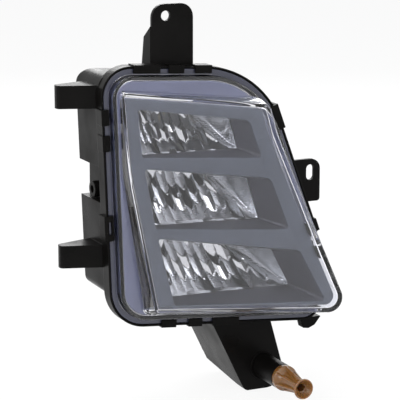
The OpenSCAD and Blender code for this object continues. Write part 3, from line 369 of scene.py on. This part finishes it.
def make_floor():
    mat, tree, out, add = node_material("floor_white")
    plain = add("BsdfDiffuse", {"Color": (0.85, 0.85, 0.85, 1)})
    glow = add("Emission", {"Color": (1, 1, 1, 1), "Strength": 1.0})
    part = add("Math", {0: seen(add), 1: GLOW_SHARE}, operation="MULTIPLY")
    mix = add("MixShader", {0: part.outputs[0], 1: plain.outputs[0], 2: glow.outputs[0]})
    tree.links.new(mix.outputs[0], out.inputs[0])
    bpy.ops.mesh.primitive_plane_add(size=FLOOR_SIZE, location=(aim.x, aim.y, FLOOR_Z))
    floor = bpy.context.object
    floor.name = "floor"
    floor.data.materials.append(mat)


def make_world():
    """A studio with a pale ceiling and grey walls, which is plain white where it is seen."""
    world = bpy.data.worlds.new("studio")
    bpy.context.scene.world = world
    world.use_nodes = True
    tree = world.node_tree
    tree.nodes.clear()
    out = tree.nodes.new("ShaderNodeOutputWorld")
    add = adder(tree)
    where = add("TexCoord")
    axes = add("SeparateXYZ", {0: where.outputs["Generated"]})
    height = add("MapRange", {"Value": axes.outputs[2], "From Min": WALL_Z, "From Max": CEILING_Z,
                              "To Min": WALL_LIGHT, "To Max": CEILING_LIGHT})
    soft = add("Background", {"Color": (0.96, 0.98, 1, 1), "Strength": height.outputs[0]})
    white = add("Background", {"Color": (1, 1, 1, 1), "Strength": 1.0})
    mix = add("MixShader", {0: seen(add), 1: soft.outputs[0], 2: white.outputs[0]})
    tree.links.new(mix.outputs[0], out.inputs[0])


make_floor()
make_world()
print("floor at", round(FLOOR_Z, 4))

# %% [markdown]
# ## Soft lamps
# The lens has rounded edges all round, and each should carry a thin bright line. A point lamp would
# give a dot there, while a large soft panel gives a line. The key panel stands on the left, a bright
# one hangs over the lamp for its flat top edges, and weaker ones fill the front, right and back.

# %% Soft lamps
# place in metres from the lamp, width and height in metres, power in watts
PANELS = {"key": ((-1.35, -0.35, 0.7), (0.9, 1.2), 16),
          "front": ((-0.2, -1.3, 1.0), (1.2, 0.8), 8),
          "fill": ((1.3, -0.9, 0.3), (0.5, 1.0), 5),
          "top": ((-0.1, 0.3, 1.3), (1.3, 0.7), 15),
          "rim": ((0.5, 1.15, 0.5), (1.0, 0.4), 6)}


def softbox(name, place, size, power):
    """A rectangular panel that faces the lamp."""
    data = bpy.data.lights.new(name, "AREA")
    data.shape = "RECTANGLE"
    data.size, data.size_y = size
    data.energy = power
    lamp = bpy.data.objects.new(name, data)
    bpy.context.scene.collection.objects.link(lamp)
    lamp.location = aim + Vector(place)
    lamp.rotation_euler = (-Vector(place)).to_track_quat("-Z", "Y").to_euler()


for name, (place, size, power) in PANELS.items():
    softbox(name, place, size, power)
print("soft lamps:", len(PANELS))

# %% [markdown]
# ## How a finish is made
# Moulded plastic is never one flat colour: the tool leaves a fine grain, and handling leaves
# slightly shinier and duller patches. Pictures of plastic could give both, but they would have to be
# wrapped round each piece. Noise in the object's own space needs no wrapping and stays on the piece
# when it moves. It is scaled in metres, as the grain of a real part would be.

# %% How a finish is made
GRAIN_LEAN = math.radians(-14)                # drawn-out grain leans like the flutes of a mirror bowl
NOISE_LOW, NOISE_HIGH = 0.3, 0.7              # nearly all the noise lies between these
GRAIN_STRENGTH = 0.6


def plastic(name, colour, rough, grain=0.00035, depth=0.00002, mottle=0.03, spread=0.08, swing=0.12,
            metal=0.0, coat=0.0, edge=0.0, streak=1.0, **more):
    """An opaque finish. grain and mottle are sizes in metres, and a streak under 1 draws the grain out."""
    mat, tree, out, add = node_material(name)
    where = add("TexCoord")
    drawn = add("Mapping", {"Vector": where.outputs["Object"], "Scale": (1, 1, streak),
                            "Rotation": (0, GRAIN_LEAN if streak < 1 else 0, 0)})
    fine = add("TexNoise", {"Vector": drawn.outputs[0], "Scale": 1 / grain, "Detail": 3.0})
    broad = add("TexNoise", {"Vector": where.outputs["Object"], "Scale": 1 / mottle, "Detail": 4.0})
    tone = add("MapRange", {"Value": broad.outputs[0], "From Min": NOISE_LOW, "From Max": NOISE_HIGH,
                            "To Min": 1 - spread, "To Max": 1 + spread})
    tint = add("Mix", {"Factor": 1.0, 6: colour + (1,), 7: tone.outputs[0]}, data_type="RGBA",
               blend_type="MULTIPLY")
    gloss = add("MapRange", {"Value": broad.outputs[0], "From Min": NOISE_LOW, "From Max": NOISE_HIGH,
                             "To Min": rough * (1 - swing), "To Max": rough * (1 + swing)})
    bump = add("Bump", {"Height": fine.outputs[0], "Distance": depth, "Strength": GRAIN_STRENGTH})
    if edge:
        # light catches on the small radius that every moulded edge has
        soft = add("Bevel", {"Radius": edge}, samples=4)
        tree.links.new(soft.outputs[0], bump.inputs["Normal"])
    skin = add("BsdfPrincipled", {"Base Color": tint.outputs[2], "Roughness": gloss.outputs[0],
                                  "Normal": bump.outputs[0], "Metallic": metal, "Coat Weight": coat, **more})
    tree.links.new(skin.outputs[0], out.inputs[0])
    return mat


def clear_plastic(name, colour):
    """Clear moulding with the faint ripple that a large lens keeps from its tool."""
    mat, tree, out, add = node_material(name)
    where = add("TexCoord")
    ripple = add("TexNoise", {"Vector": where.outputs["Object"], "Scale": 60.0, "Detail": 1.0})
    bump = add("Bump", {"Height": ripple.outputs[0], "Distance": 0.0002, "Strength": 0.15})
    skin = add("BsdfPrincipled", {"Base Color": colour + (1,), "Roughness": 0.0, "IOR": 1.5,
                                  "Transmission Weight": 1.0, "Normal": bump.outputs[0]})
    tree.links.new(skin.outputs[0], out.inputs[0])
    return mat


print("two kinds of finish ready")

# %% [markdown]
# ## The finishes of the lamp
# The housing is black nylon with a low sheen and small rounded edges that shine. The bezel is one
# moulding, but it looks violet behind the lens's flat step and darker in its funnels: there it takes a
# painted reflection and painted shade, and its left wall a painted reflection of the dark channel.
# Each bowl is coated with metal, and its facets look bright, satin or dim: the satin facets are
# rougher, and both they and the dim ones are painted darker, a painted reflection of the grey and dark
# things that they face. Screws, frame, seals and boards have plain finishes, because little of them is seen.

# %% The finishes of the lamp
BLACK = plastic("moulded_black", (0.0034, 0.0031, 0.0029), 0.33, spread=0.3, swing=0.4, edge=0.0008,
                **{"Specular IOR Level": 0.07})
GREY = plastic("bezel_grey", (0.086, 0.1, 0.132), 0.36, grain=0.0005, depth=0.000004)
# painted reflection: the grey bezel's rim tinted violet, as the lens's reflections make it look
VIOLET_PAINTED_REFLECTION = plastic("bezel_rim_painted_violet_reflection", (0.17, 0.185, 0.3), 0.3, grain=0.0005, depth=0.000004)
# painted shade: the bezel's grey, darkened where it lies in the recess of a funnel
FUNNEL_PAINTED_SHADE = plastic("funnel_painted_shade", (0.062, 0.064, 0.086), 0.42, grain=0.0005, depth=0.000004)
CHROME = plastic("mirror_coat", (0.76, 0.76, 0.75), 0.06, grain=0.0011, depth=0.00009, streak=0.07,
                 spread=0.03, metal=0.95)
# satin facets are rougher, and also painted greyer: a painted reflection of grey things
SATIN_PAINTED_GREY = plastic("mirror_satin_painted_grey", (0.52, 0.53, 0.55), 0.26, grain=0.0011, depth=0.00012, streak=0.07,
                spread=0.12, mottle=0.012, metal=1.0)
# painted reflection: facets that face the lamp's dark inside are painted darker
MIRROR_PAINTED_DARK = plastic("mirror_painted_dark", (0.45, 0.46, 0.48), 0.1, depth=0.000001, spread=0.1, metal=1.0)
CLEAR = clear_plastic("clear_lens", (0.93, 0.935, 0.975))
TAN = plastic("tan_nylon", (0.175, 0.076, 0.018), 0.3, coat=0.2,
              **{"Subsurface Weight": 0.35, "Subsurface Radius": (1.0, 0.45, 0.15),
                 "Subsurface Scale": 0.003})
STEEL = plastic("zinc_steel", (0.5, 0.5, 0.48), 0.3, metal=1.0)
ALU = plastic("cast_aluminium", (0.42, 0.43, 0.45), 0.45, metal=1.0)
RUBBER = plastic("black_rubber", (0.012, 0.012, 0.012), 0.7)
SEALANT = plastic("grey_sealant", (0.2, 0.21, 0.3), 0.5, mottle=0.01)
BOND = plastic("bonded_rim", (0.036, 0.038, 0.062), 0.22, mottle=0.01, depth=0.000004, coat=0.4)
# painted reflection: the bezel's left wall darkened as if it mirrored the dark channel
LEFT_WALL_PAINTED_REFLECTION = plastic("left_wall_painted_reflection", (0.02, 0.017, 0.012), 0.25, mottle=0.01, depth=0.000004, coat=0.3)
BOARD = plastic("board_white", (0.6, 0.6, 0.58), 0.4)
GREEN = plastic("board_green", (0.02, 0.11, 0.05), 0.4)
CHIP = plastic("led_cream", (0.86, 0.8, 0.56), 0.4)
IVORY = plastic("ivory_nylon", (0.68, 0.65, 0.56), 0.45)
BRASS = plastic("brass_pin", (0.7, 0.5, 0.2), 0.3, metal=1.0)
print("materials:", len(bpy.data.materials))

# %% [markdown]
# ## Dressing the solid pieces
# Most pieces of the solid model already have their true shape, so they only need their finish. The
# housing could be modelled again with rounded edges, but its finish already bends the light there, and
# what lies inside it is hardly seen. The lens, bezel, bowls and tan head are made anew further on.

# %% Dressing the solid pieces
DRESS = {
    BLACK: ("housing", "arm_cover", "rear_cover", "connector_socket", "vent_cap", "aim_lever"),
    RUBBER: ("rear_cover_seal", "adjuster_oring", "driver_parts"),
    SEALANT: ("lens_seal",),
    GREY: ("bezel",),
    CLEAR: ("lens",),
    CHROME: ("reflector_top", "reflector_middle", "reflector_bottom"),
    BOARD: ("led_boards",),
    GREEN: ("driver_board",),
    CHIP: ("led_chips",),
    STEEL: ("board_screws", "reflector_screws", "pivot_pins", "lever_screws", "arm_cover_screws",
            "rear_cover_screws", "rod_clip", "adjuster_rod"),
    ALU: ("carrier",),
    TAN: ("adjuster_head",),
    IVORY: ("adjuster_nut",),
    BRASS: ("terminal_pins",),
}


def coat_with(mesh, *finishes):
    """Gives a mesh these finishes and no others. All its faces start with the first."""
    mesh.materials.clear()
    for finish in finishes:
        mesh.materials.append(finish)


for finish, names in DRESS.items():
    for name in names:
        coat_with(nodes[name].data, finish)
print("dressed:", sum(len(names) for names in DRESS.values()), "solid pieces")

# %% [markdown]
# ## The clear lens
# The real lens is one injection moulding in clear plastic, about 2.5 mm thick all over: a rim that is
# bonded into the housing's channel, a flat step, and a raised block whose face slants forward to the
# lower right. It could be one surface with a thickness modifier, but the corners would pinch.
# Here each form is a closed body, the outer ones are joined, and the hollow is cut out of them with
# bodies that are 2.5 mm smaller, as the two halves of the tool would do. The grey bond behind the rim
# shows through it, so the rim's front and walls take the bond's colour.

# %% Lens
LENS_T = 2.5                                  # wall
STEP_Y = -6.0                                 # front of the flat step
RIM_Y, RIM_BACK = 0.3, 2.8                    # front and back of the rim
LEG_BACK = 5.5                                # end of the leg that stands in the channel
RIM_S, STEP_S, PLATEAU_S = 1.5, 4.7, 5.3      # set in from the flange: rim, step's foot, step's top
LEG_OUT, LEG_IN = 0.48, 2.56                  # the leg's two walls, set in from the rim
SLOPE = (PLATEAU_S - STEP_S) / (RIM_BACK - STEP_Y)
RIM_EDGE, STEP_EDGE, BLOCK_EDGE = 0.4, 1.2, 1.6
STEP_EDGE_IN, BLOCK_EDGE_IN = 0.7, 0.8        # edges of the hollow
LEG_SUNK, STEP_SUNK = 0.4, 0.3                # how far leg and step reach into the rim
BLOCK_END = 1.5                               # depth at which the block ends, inside the rim
PAST = 1                                      # how far a cutting body runs past what it cuts
HAIR = 0.05                                   # points nearer to a plane than this count as on it
BACKWARDS = 0.5                               # a face whose normal has more than this of y looks backwards
LENS_SHARP = 32


def paint_rim(mesh):
    """Bond colour on the faces that lie wholly behind the rim's front and don't look backwards."""
    finishes = [CLEAR, BOND]
    coat_with(mesh, *finishes)
    for f in mesh.polygons:
        front = min((mesh.vertices[n].co / MM - DATUM).y for n in f.vertices)
        if front > RIM_Y - HAIR and f.normal.y < BACKWARDS:
            f.material_index = finishes.index(BOND)


def make_lens():
    lens = solid("lens_clear", step_rings(RIM_S, RIM_Y, RIM_EDGE, RIM_BACK))
    leg = prism("leg", flange(RIM_S + LEG_OUT), RIM_BACK - LEG_SUNK, LEG_BACK)
    boolean(leg, prism("leg_hole", flange(RIM_S + LEG_IN), RIM_BACK - PAST, LEG_BACK + PAST), "DIFFERENCE")
    step = step_rings(PLATEAU_S, STEP_Y, STEP_EDGE, RIM_BACK - STEP_SUNK, slope=SLOPE)
    boolean(lens, solid("step", step), "UNION")
    boolean(lens, solid("block", block_rings(0, 0, BLOCK_EDGE, foot=BLOCK_END)), "UNION")
    boolean(lens, leg, "UNION")
    hollow = step_rings(PLATEAU_S + LENS_T, STEP_Y + LENS_T, STEP_EDGE_IN, RIM_BACK + PAST)
    boolean(lens, solid("hollow_step", hollow), "DIFFERENCE")
    boolean(lens, solid("hollow_block", block_rings(LENS_T, LENS_T, BLOCK_EDGE_IN)), "DIFFERENCE")
    smooth(lens, LENS_SHARP)
    paint_rim(lens.data)
    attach(lens, "root")
    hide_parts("lens")
    return lens


lens = make_lens()
print("lens:", len(lens.data.polygons), "faces")

# %% [markdown]
# ## The grey bezel
# Behind the lens a satin grey moulding hides the works. Its face follows the slanting block, and each
# of its three windows is the wide end of a funnel, whose right wall and floor show from this side.
# It could be cut from a sheet, but then the funnels would have no walls. The same rings as the lens
# make it, set further in and further back, so the air gap stays even. Two dark tabs on its right edge
# are painted shade, put where the lamp's dark inside shows beside the bezel.

# %% Bezel
BEZEL_IN, BEZEL_BACK = 3.6, 6.0               # set in and back from the lens's block
BEZEL_T = 1.8                                 # wall
SKIRT_S, SKIRT_Y, LEDGE_Y = 8.4, -3.2, 6.8    # the rim behind the flat step: set-in, front and back
SKIRT_EDGE, BEZEL_EDGE, BEZEL_EDGE_IN = 0.8, 1.0, 0.4
SUNK = 0.9                                    # how far block and funnels reach into what they join
FUNNEL_END = -1.0
WINDOW_R = [2, 6, 2, 2]
LIP = [(-0.5, -2), (-0.5, 0), (-0.15, 0.15), (0, 0.5)]    # set-in and depth over a window's rounded lip
FUNNEL_PAST = 0.5
# dark tabs of painted shade, where the lamp's dark inside shows
SHADE_TAB_HEIGHTS = (-19.55, -34.0)
SHADE_TAB_HALF = 4.0
SHADE_TAB_IN, SHADE_TAB_OUT = 0.7, 0.28
SHADE_TAB_FRONT, SHADE_TAB_BACK = 2.2, 2.5


def window(i, s, back, steps=6):
    return lay(rounded(inset(WINDOWS[i], s), WINDOW_R, steps), lambda p: face_y(p, back))


def throat(i, s, y, steps=6):
    return lay(rounded(inset(THROATS[i], s), [r / 2 for r in WINDOW_R], steps), y)


def side_x(z):
    """Right edge of the face at height z."""
    a, b = (FACE[2], FACE[3]) if z > FACE[3][1] else (FACE[3], FACE[4])
    return a[0] + (b[0] - a[0]) * (z - a[1]) / (b[1] - a[1])


def light_stop(z):
    """Small dark tab on the bezel's right edge, seen through the side of the lens: painted shade where the
    lamp's dark inside shows.
    """
    top, foot = z + SHADE_TAB_HALF, z - SHADE_TAB_HALF
    hi, lo = side_x(top) - BEZEL_IN, side_x(foot) - BEZEL_IN
    y = face_y((side_x(z), z), BEZEL_BACK)
    outline = [(hi - SHADE_TAB_IN, top), (hi + SHADE_TAB_OUT, top), (lo + SHADE_TAB_OUT, foot), (lo - SHADE_TAB_IN, foot)]
    return prism("stop", outline, y - SHADE_TAB_FRONT, y + SHADE_TAB_BACK)


def make_bezel():
    bezel = solid("bezel_grey", step_rings(SKIRT_S, SKIRT_Y, SKIRT_EDGE, LEDGE_Y))
    block = block_rings(BEZEL_IN, BEZEL_BACK, BEZEL_EDGE, foot=SKIRT_Y + SUNK)
    boolean(bezel, solid("block", block), "UNION")
    hollow = step_rings(SKIRT_S + BEZEL_T, SKIRT_Y + BEZEL_T, BEZEL_EDGE_IN, LEDGE_Y + PAST)
    boolean(bezel, solid("hollow_skirt", hollow), "DIFFERENCE")
    hollow = block_rings(BEZEL_IN + BEZEL_T, BEZEL_BACK + BEZEL_T, BEZEL_EDGE_IN)
    boolean(bezel, solid("hollow_block", hollow), "DIFFERENCE")
    for i in range(3):
        funnel = [window(i, -BEZEL_T, BEZEL_BACK + SUNK), throat(i, -BEZEL_T, FUNNEL_END)]
        boolean(bezel, solid("funnel", funnel), "UNION")
    for i in range(3):
        opening = [window(i, s, BEZEL_BACK + y) for s, y in LIP] + [throat(i, 0, FUNNEL_END + FUNNEL_PAST)]
        boolean(bezel, solid("opening", opening), "DIFFERENCE")
    for z in SHADE_TAB_HEIGHTS:
        boolean(bezel, light_stop(z), "UNION")
    smooth(bezel, LENS_SHARP)
    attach(bezel, "root")
    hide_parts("bezel")
    return bezel


bezel = make_bezel()
print("bezel:", len(bezel.data.polygons), "faces")

# %% [markdown]
# ## The bezel's colours
# The moulding has one colour, yet it shows five: a satin face, a violet rim behind the
# flat step, darker funnels, black tabs, and a left wall that mirrors the dark channel. Lamps alone
# don't bring that out, so light and shade are painted on: the violet rim is a painted reflection, the
# funnels are painted shade, the black tabs are painted shade where the lamp's dark inside shows, and the
# left wall is a painted reflection of the dark channel. Every face takes the paint of the place where it
# lies.

# %% The bezel's colours
SKIRT_REACH = 0.5                             # the painted violet reflection starts this far before the skirt's front
FACE_BAND = 0.3                               # nearer to the face's plane than this is the face itself
FACING_FRONT, FACING_LEFT = -0.3, -0.6
LEFT_PART = -25                               # left of this x the outer wall is the left one
BEZEL_FINISHES = [GREY, VIOLET_PAINTED_REFLECTION, FUNNEL_PAINTED_SHADE, BLACK, LEFT_WALL_PAINTED_REFLECTION]


def in_a_window(x, z):
    corners = ([Vector(q) for q in w] for w in WINDOWS)
    return any(geometry.intersect_point_quad_2d(Vector((x, z)), *quad) for quad in corners)


def paint_bezel(mesh):
    coat_with(mesh, *BEZEL_FINISHES)
    for f in mesh.polygons:
        c = f.center / MM - DATUM
        behind = c.y - face_y((c.x, c.z), BEZEL_BACK)
        inside = in_a_window(c.x, c.z)
        finish = GREY
        # painted reflection: violet on the rim behind the flat step
        if c.y > SKIRT_Y - SKIRT_REACH and (f.normal.y < FACING_FRONT or not inside):
            finish = VIOLET_PAINTED_REFLECTION
        # painted shade inside the funnels
        elif inside and behind > FACE_BAND:
            finish = FUNNEL_PAINTED_SHADE
        # painted shade: the dark tabs that stand before the face
        elif behind < -FACE_BAND:
            finish = BLACK
        # painted reflection of the dark channel on the left outer wall
        elif f.normal.x < FACING_LEFT and c.x < LEFT_PART and not inside:
            finish = LEFT_WALL_PAINTED_REFLECTION
        f.material_index = BEZEL_FINISHES.index(finish)


paint_bezel(bezel.data)
slots = [f.material_index for f in bezel.data.polygons]
print("faces of each finish:", {m.name: slots.count(n) for n, m in enumerate(BEZEL_FINISHES)})

# %% [markdown]
# ## Three fluted mirror bowls
# Each bowl is a parabola that hangs from its upper edge, where the light sources sit, and comes
# forward towards its lower edge. It is split into leaning flutes, narrower on the left. A mirror shows
# every mistake in a surface, so the bowl is a fine grid worked out from a formula rather than a coarse
# shape with a bump texture. The formula starts with the smooth sheet and the places of the flutes.

# %% The sheet of a bowl and its flutes
BOWL_BACK, BOWL_D, BOWL_BOW, BOWL_T, BOWL_RIM = 22.0, 17.0, 1.8, 1.6, 1.5
FLUTES = 12
NARROW = 1.3                                  # over 1, the flutes are narrower towards the left end


def bowl_sheet(u, v):
    """Depth of the smooth bowl, u of the way across and v of the way down."""
    return BOWL_BACK - BOWL_D * v * v - BOWL_BOW * (2 * u - 1) ** 2


def across_share(k, t):
    """How far across the bowl a point lies that is t of the way across flute k."""
    return ((k + t) / FLUTES) ** NARROW


print("bowl:", bowl_sheet(0.5, 0), "mm deep at its top,", bowl_sheet(0.5, 1), "mm at its foot")

# %% [markdown]
# ## The ribbed hollow
# In the upper right corner of each bowl the flutes give way to a hollow that curves forward and
# carries fine level ribs, which scatter what would glare sideways. A texture could draw the ribs, but
# at this size they still break the reflection, so they are real ones.

# %% The ribbed hollow
RIB_PITCH, RIB_H = 1.1, 0.12
HOLLOW_AT, HOLLOW_SHIFT = 0.66, 0.34          # where it starts at the top, and how far that moves right
HOLLOW_Y = 3.4                                # how far forward it comes at the bowl's right end


def hollow_edge(v):
    """Where across the bowl the hollow starts, v of the way down."""
    return HOLLOW_AT + HOLLOW_SHIFT * v


def ribs(z):
    return RIB_H * (1 + math.sin(2 * math.pi * z / RIB_PITCH))


print("the hollow starts", hollow_edge(0), "of the way across at the top and", hollow_edge(1), "at the foot")

# %% [markdown]
# ## The facets of the flutes
# Each flute has four facets that tilt their own way, so that one throws back the white ceiling and
# the next the dark inside of the lamp. The pattern could be left to chance, but then it wouldn't follow
# the photograph's. So it is a list with one letter for each facet, and waves move the borders a little.

# %% The facets of the flutes
# what each facet throws back, from the top of a flute to its foot: W white sky, G grey, D the dark inside
FACETS = ["WDWG", "DWGD", "GDWG", "WDGG", "WGDG", "GDWG", "WGDG", "WDGG", "DGWG", "GWGG", "WGGD", "GGWG"]
SHIFT = 5                                     # each bowl starts this many flutes further on in the list
BORDERS = (0.25, 0.5, 0.76, 1.0)              # where the facets of a flute end, as shares of the height
WANDER, POINT = 0.06, 0.11                    # how far such a border strays, and how pointed it is
STRAY_FLUTE, STRAY_ROW, STRAY_BOWL = 2.4, 1.7, 2.1    # steps of the wave that it strays by


def facet_at(i, k, t, v):
    """Kind of the facet at a point of a flute, and the height share at which it ends."""
    point = POINT * (abs(2 * t - 1) if (k + i) % 3 else (2 * t - 1) ** 2 - 1)
    for n, border in enumerate(BORDERS):
        stray = math.sin(STRAY_FLUTE * k + STRAY_ROW * n + STRAY_BOWL * i)
        end = border + WANDER * stray - point * (border < 1)
        if v < end or border == 1:
            return FACETS[(k + SHIFT * i - SHIFT) % FLUTES][n], end


print("facets that look white:", sum(row.count("W") for row in FACETS), "of", FLUTES * len(BORDERS))

# %% [markdown]
# ## How far each facet stands out
# A facet leans across its flute, bulges a little, and evens out part of the sheet's slope. Those
# three lengths are added up and taken off the sheet's depth. They fade towards the hollow and towards
# the foot, where the next piece lies close.

# %% How far each facet stands out
LEAN = {"W": 1.35, "G": 0.5, "D": -0.8}       # how far a facet comes forward across its flute
LEAST_LEAN, MORE_LEAN = 0.85, 0.3             # its share of that, which varies from flute to flute
LEAN_FLUTE, LEAN_BOWL = 1.9, 3.1              # steps of the wave that varies it
FOOT_SHARE = 0.04                             # in this last share of the height the facets lose their lean
CROWN = 0.14
FLATS = (19.0, 12.0, 12.0)                    # how much less each bowl's facets slope than its sheet
RISE = {"W": 1.0, "G": 0.6, "D": 0.15}        # the share of that which each kind of facet takes
FACET_RIBS = 0.12                             # share of the hollow's ribs that grey facets carry
LIFT = 0.3                                    # all facets stand this far before the sheet
FADE, FADE_LEAST = 0.07, 0.15                 # towards the hollow the facets sink to a rest of their height
NEAREST = 2.8                                 # no facet comes nearer to the funnels than this


def bowl_depth(i, k, t, v, z):
    """Depth of bowl i in flute k, t of the way across the flute and v of the way down, at height z."""
    u = across_share(k, t)
    edge = hollow_edge(v)
    if u > edge:
        hollow = (bowl_sheet(u, v) - HOLLOW_Y) * ((u - edge) / (1 - edge)) ** 2
        return bowl_sheet(u, v) - hollow - ribs(z)
    kind, end = facet_at(i, k, t, v)
    lean = LEAN[kind] * (LEAST_LEAN + MORE_LEAN * math.sin(LEAN_FLUTE * k + LEAN_BOWL * i) ** 2)
    lean *= min(1, (1 - v) / FOOT_SHARE)
    crown = CROWN * (1 - (2 * t - 1) ** 2)
    flat = FLATS[i] * RISE[kind] * max(0, end - v) * v
    fine = FACET_RIBS * ribs(z) if kind == "G" else 0
    forward = LIFT + crown + max(lean, 0) * t - min(lean, 0) * (1 - t) + flat + fine
    return max(NEAREST, bowl_sheet(u, v) - forward * min(1, FADE_LEAST + (edge - u) / FADE))


print("middle bowl, centre:", round(bowl_depth(1, 6, 0.5, 0.5, 0), 2), "mm deep")

# %% [markdown]
# ## Making the bowls
# The formula gives a depth for any point, so the bowl is drawn as many thin columns from its top to
# its foot. The columns end on a border where two flutes meet, and both flutes have a column of their
# own there, so the step between them stays sharp. A second sheet behind it makes the moulding's wall.

# %% Making the bowls
SLOTS = "WGD"                                 # bright coat, satin coat painted greyer, and coat painted dark, as painted reflections, in the order of the slots
BOWL_SHARP = 20


def bowl_faces(skin, i, front, across, down):
    """Bridges the front columns of bowl i, and notes the finish of every face."""
    for c, (a, b) in enumerate(zip(front, front[1:])):
        k, t = c // (across + 1), (c % (across + 1) + 0.5) / across
        first = len(skin.faces)
        skin.bridge(a, b, closed=False)
        for r in range(down):
            v = (r + 0.5) / down
            in_hollow = across_share(k, t) > hollow_edge(v)
            # the finish paints in what the facet throws back: grey and dark facets take a painted reflection
            skin.kinds[first + r] = SLOTS.index("D" if in_hollow else facet_at(i, k, t, v)[0])


def make_bowl(i, name, across=8, down=120):
    corners = [Vector(c) for c in inset(THROATS[i], -BOWL_RIM)]

    def spot(u, v):
        return corners[0].lerp(corners[1], u).lerp(corners[3].lerp(corners[2], u), v)
    skin = Skin()
    front, rear = [], []
    for k in range(FLUTES):
        for c in range(across + 1):
            t = c / across
            u = across_share(k, t)
            places = [(r / down, spot(u, r / down)) for r in range(down + 1)]
            front.append(skin.ring([Vector((p.x, bowl_depth(i, k, t, v, p.y), p.y)) for v, p in places]))
            rear.append(skin.ring([Vector((p.x, bowl_sheet(u, v) + BOWL_T, p.y)) for v, p in places]))
    bowl_faces(skin, i, front, across, down)
    for a, b in zip(rear, rear[1:]):
        skin.bridge(b, a, closed=False)
    skin.bridge(rear[0], front[0], closed=False)
    skin.bridge(front[-1], rear[-1], closed=False)
    for end in (0, down):
        for c in range(len(front) - 1):
            quad = (front[c][end], front[c + 1][end], rear[c + 1][end], rear[c][end])
            skin.faces.append(quad if end else quad[::-1])
    bowl = skin.make(name, BOWL_SHARP)
    for finish in (CHROME, SATIN_PAINTED_GREY, MIRROR_PAINTED_DARK):
        bowl.data.materials.append(finish)
    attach(bowl, "carrier")
    return bowl


for i, part in enumerate(("top", "middle", "bottom")):
    bowl = make_bowl(i, "bowl_" + part)
    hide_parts("reflector_" + part)
    print(bowl.name, len(bowl.data.polygons), "faces")

# %% [markdown]
# ## Turning on the adjuster's axis
# The adjuster's head and the ring round its tube are round parts, such as a lathe makes. Blender's
# screw modifier could turn them, but it can't give a bore six sides halfway down. So the profile is
# turned by hand here, and the points that are named as a hexagon are drawn in to its flats.

# %% Turning on the adjuster's axis
AXIS_X, AXIS_Z = 47.791, -112.795


def turned(name, profile, steps=72, hexagon=()):
    """A closed profile of (radius, y), turned round the adjuster's axis. Points in hexagon get six sides."""
    skin = Skin()
    rings = []
    for n, (r, y) in enumerate(profile):
        ring = []
        for k in range(steps):
            a = 2 * math.pi * k / steps
            flat = math.cos(math.pi / 6) / math.cos((a % (math.pi / 3)) - math.pi / 6) if n in hexagon else 1
            ring.append((AXIS_X + r * flat * math.cos(a), y, AXIS_Z + r * flat * math.sin(a)))
        rings.append(skin.ring(ring))
    for a, b in zip(rings, rings[1:] + rings[:1]):
        skin.bridge(a, b)
    return skin.make(name)


print("adjuster's axis at x", AXIS_X, "z", AXIS_Z)

# %% [markdown]
# ## The tan adjuster head
# A driver bit finds its way through this funnel into a hexagon socket and turns the aiming screw.
# The real one is moulded in natural nylon: a thin neck with six ribs, so its walls stay even and it
# doesn't sink while it cools. A thick plain cone would be simpler, but the ribs show at its edge. It
# is turned as one closed profile, as on a lathe, and the ribs are joined to it.

# %% Adjuster head
HEAD_Y = -47.0                                # its front edge
HEX_R = 2.8
# radius, and depth behind the front edge: round the outside to the back, then forward through the bore
OUTSIDE = [(5.75, 0.0), (6.15, 0.1), (6.38, 0.45), (6.4, 0.9), (6.2, 1.4), (5.4, 2.5), (4.4, 4.0), (3.9, 5.4),
           (3.7, 7.0), (3.6, 8.6), (3.6, 11.0), (3.7, 14.0), (4.0, 17.0), (4.7, 20.2), (5.7, 22.4),
           (7.3, 23.5), (8.01, 24.3), (8.01, 27.2), (7.8, 27.7), (6.0, 27.7), (6.0, 40.8)]
BORE = [(3.02, 40.8), (3.02, 15.2), (HEX_R, 15.2), (HEX_R, 4.1), (3.3, 3.6), (4.6, 1.8), (5.3, 0.6),
        (5.55, 0.1)]
RIB_COUNT, RIB_TURN = 6, 25                   # the first rib stands at 25 degrees
RIB_HALF = 0.7
RIB_LINE = [(3.3, 3.0), (4.9, 3.3), (4.9, 8.0), (6.6, 17.0), (7.95, 24.0), (7.6, 26.0), (3.3, 26.0)]
RIB_OUTER = (1, 2, 3, 4)                      # the points of that line on the rib's outer edge
RIB_ROUND = [(-1, 0.5), (-0.6, 0.1), (0, 0), (0.6, 0.1), (1, 0.5)]    # share across, and how much lower


def head_rib(angle):
    """One rib along the cone, its outer edge rounded."""
    across = Vector((-math.sin(angle), 0, math.cos(angle)))
    rings = []
    for share, lower in RIB_ROUND:
        ring = []
        for n, (r, y) in enumerate(RIB_LINE):
            r -= lower if n in RIB_OUTER else 0
            foot = Vector((AXIS_X + r * math.cos(angle), HEAD_Y + y, AXIS_Z + r * math.sin(angle)))
            ring.append(foot + across * (RIB_HALF * share))
        rings.append(ring)
    return solid("rib", rings)


def make_head():
    hexagon = (len(OUTSIDE) + 2, len(OUTSIDE) + 3)
    head = turned("adjuster_head_tan", [(r, HEAD_Y + y) for r, y in OUTSIDE + BORE], hexagon=hexagon)
    for k in range(RIB_COUNT):
        boolean(head, head_rib(math.radians(360 / RIB_COUNT * k + RIB_TURN)), "UNION")
    smooth(head)
    coat_with(head.data, TAN)
    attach(head, "adjuster")
    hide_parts("adjuster_head")
    return head


head = make_head()
print("adjuster head:", len(head.data.polygons), "faces")

# %% [markdown]
# ## The collar of the tube
# Where the adjuster's tube leaves the arm, the moulding has a low ring, whose edge catches the light.
# It could be drawn into the bump of the black plastic, but its outline shows against the tube. It is a
# small turned piece that stands on the arm.

# %% Collar
COLLAR = [(8.05, 8.0), (8.05, 7.3), (8.35, 7.1), (8.75, 7.1), (9.0, 7.35), (9.05, 8.0)]

collar = turned("arm_collar", COLLAR)
coat_with(collar.data, BLACK)
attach(collar, "root")
print("collar:", len(collar.data.polygons), "faces")
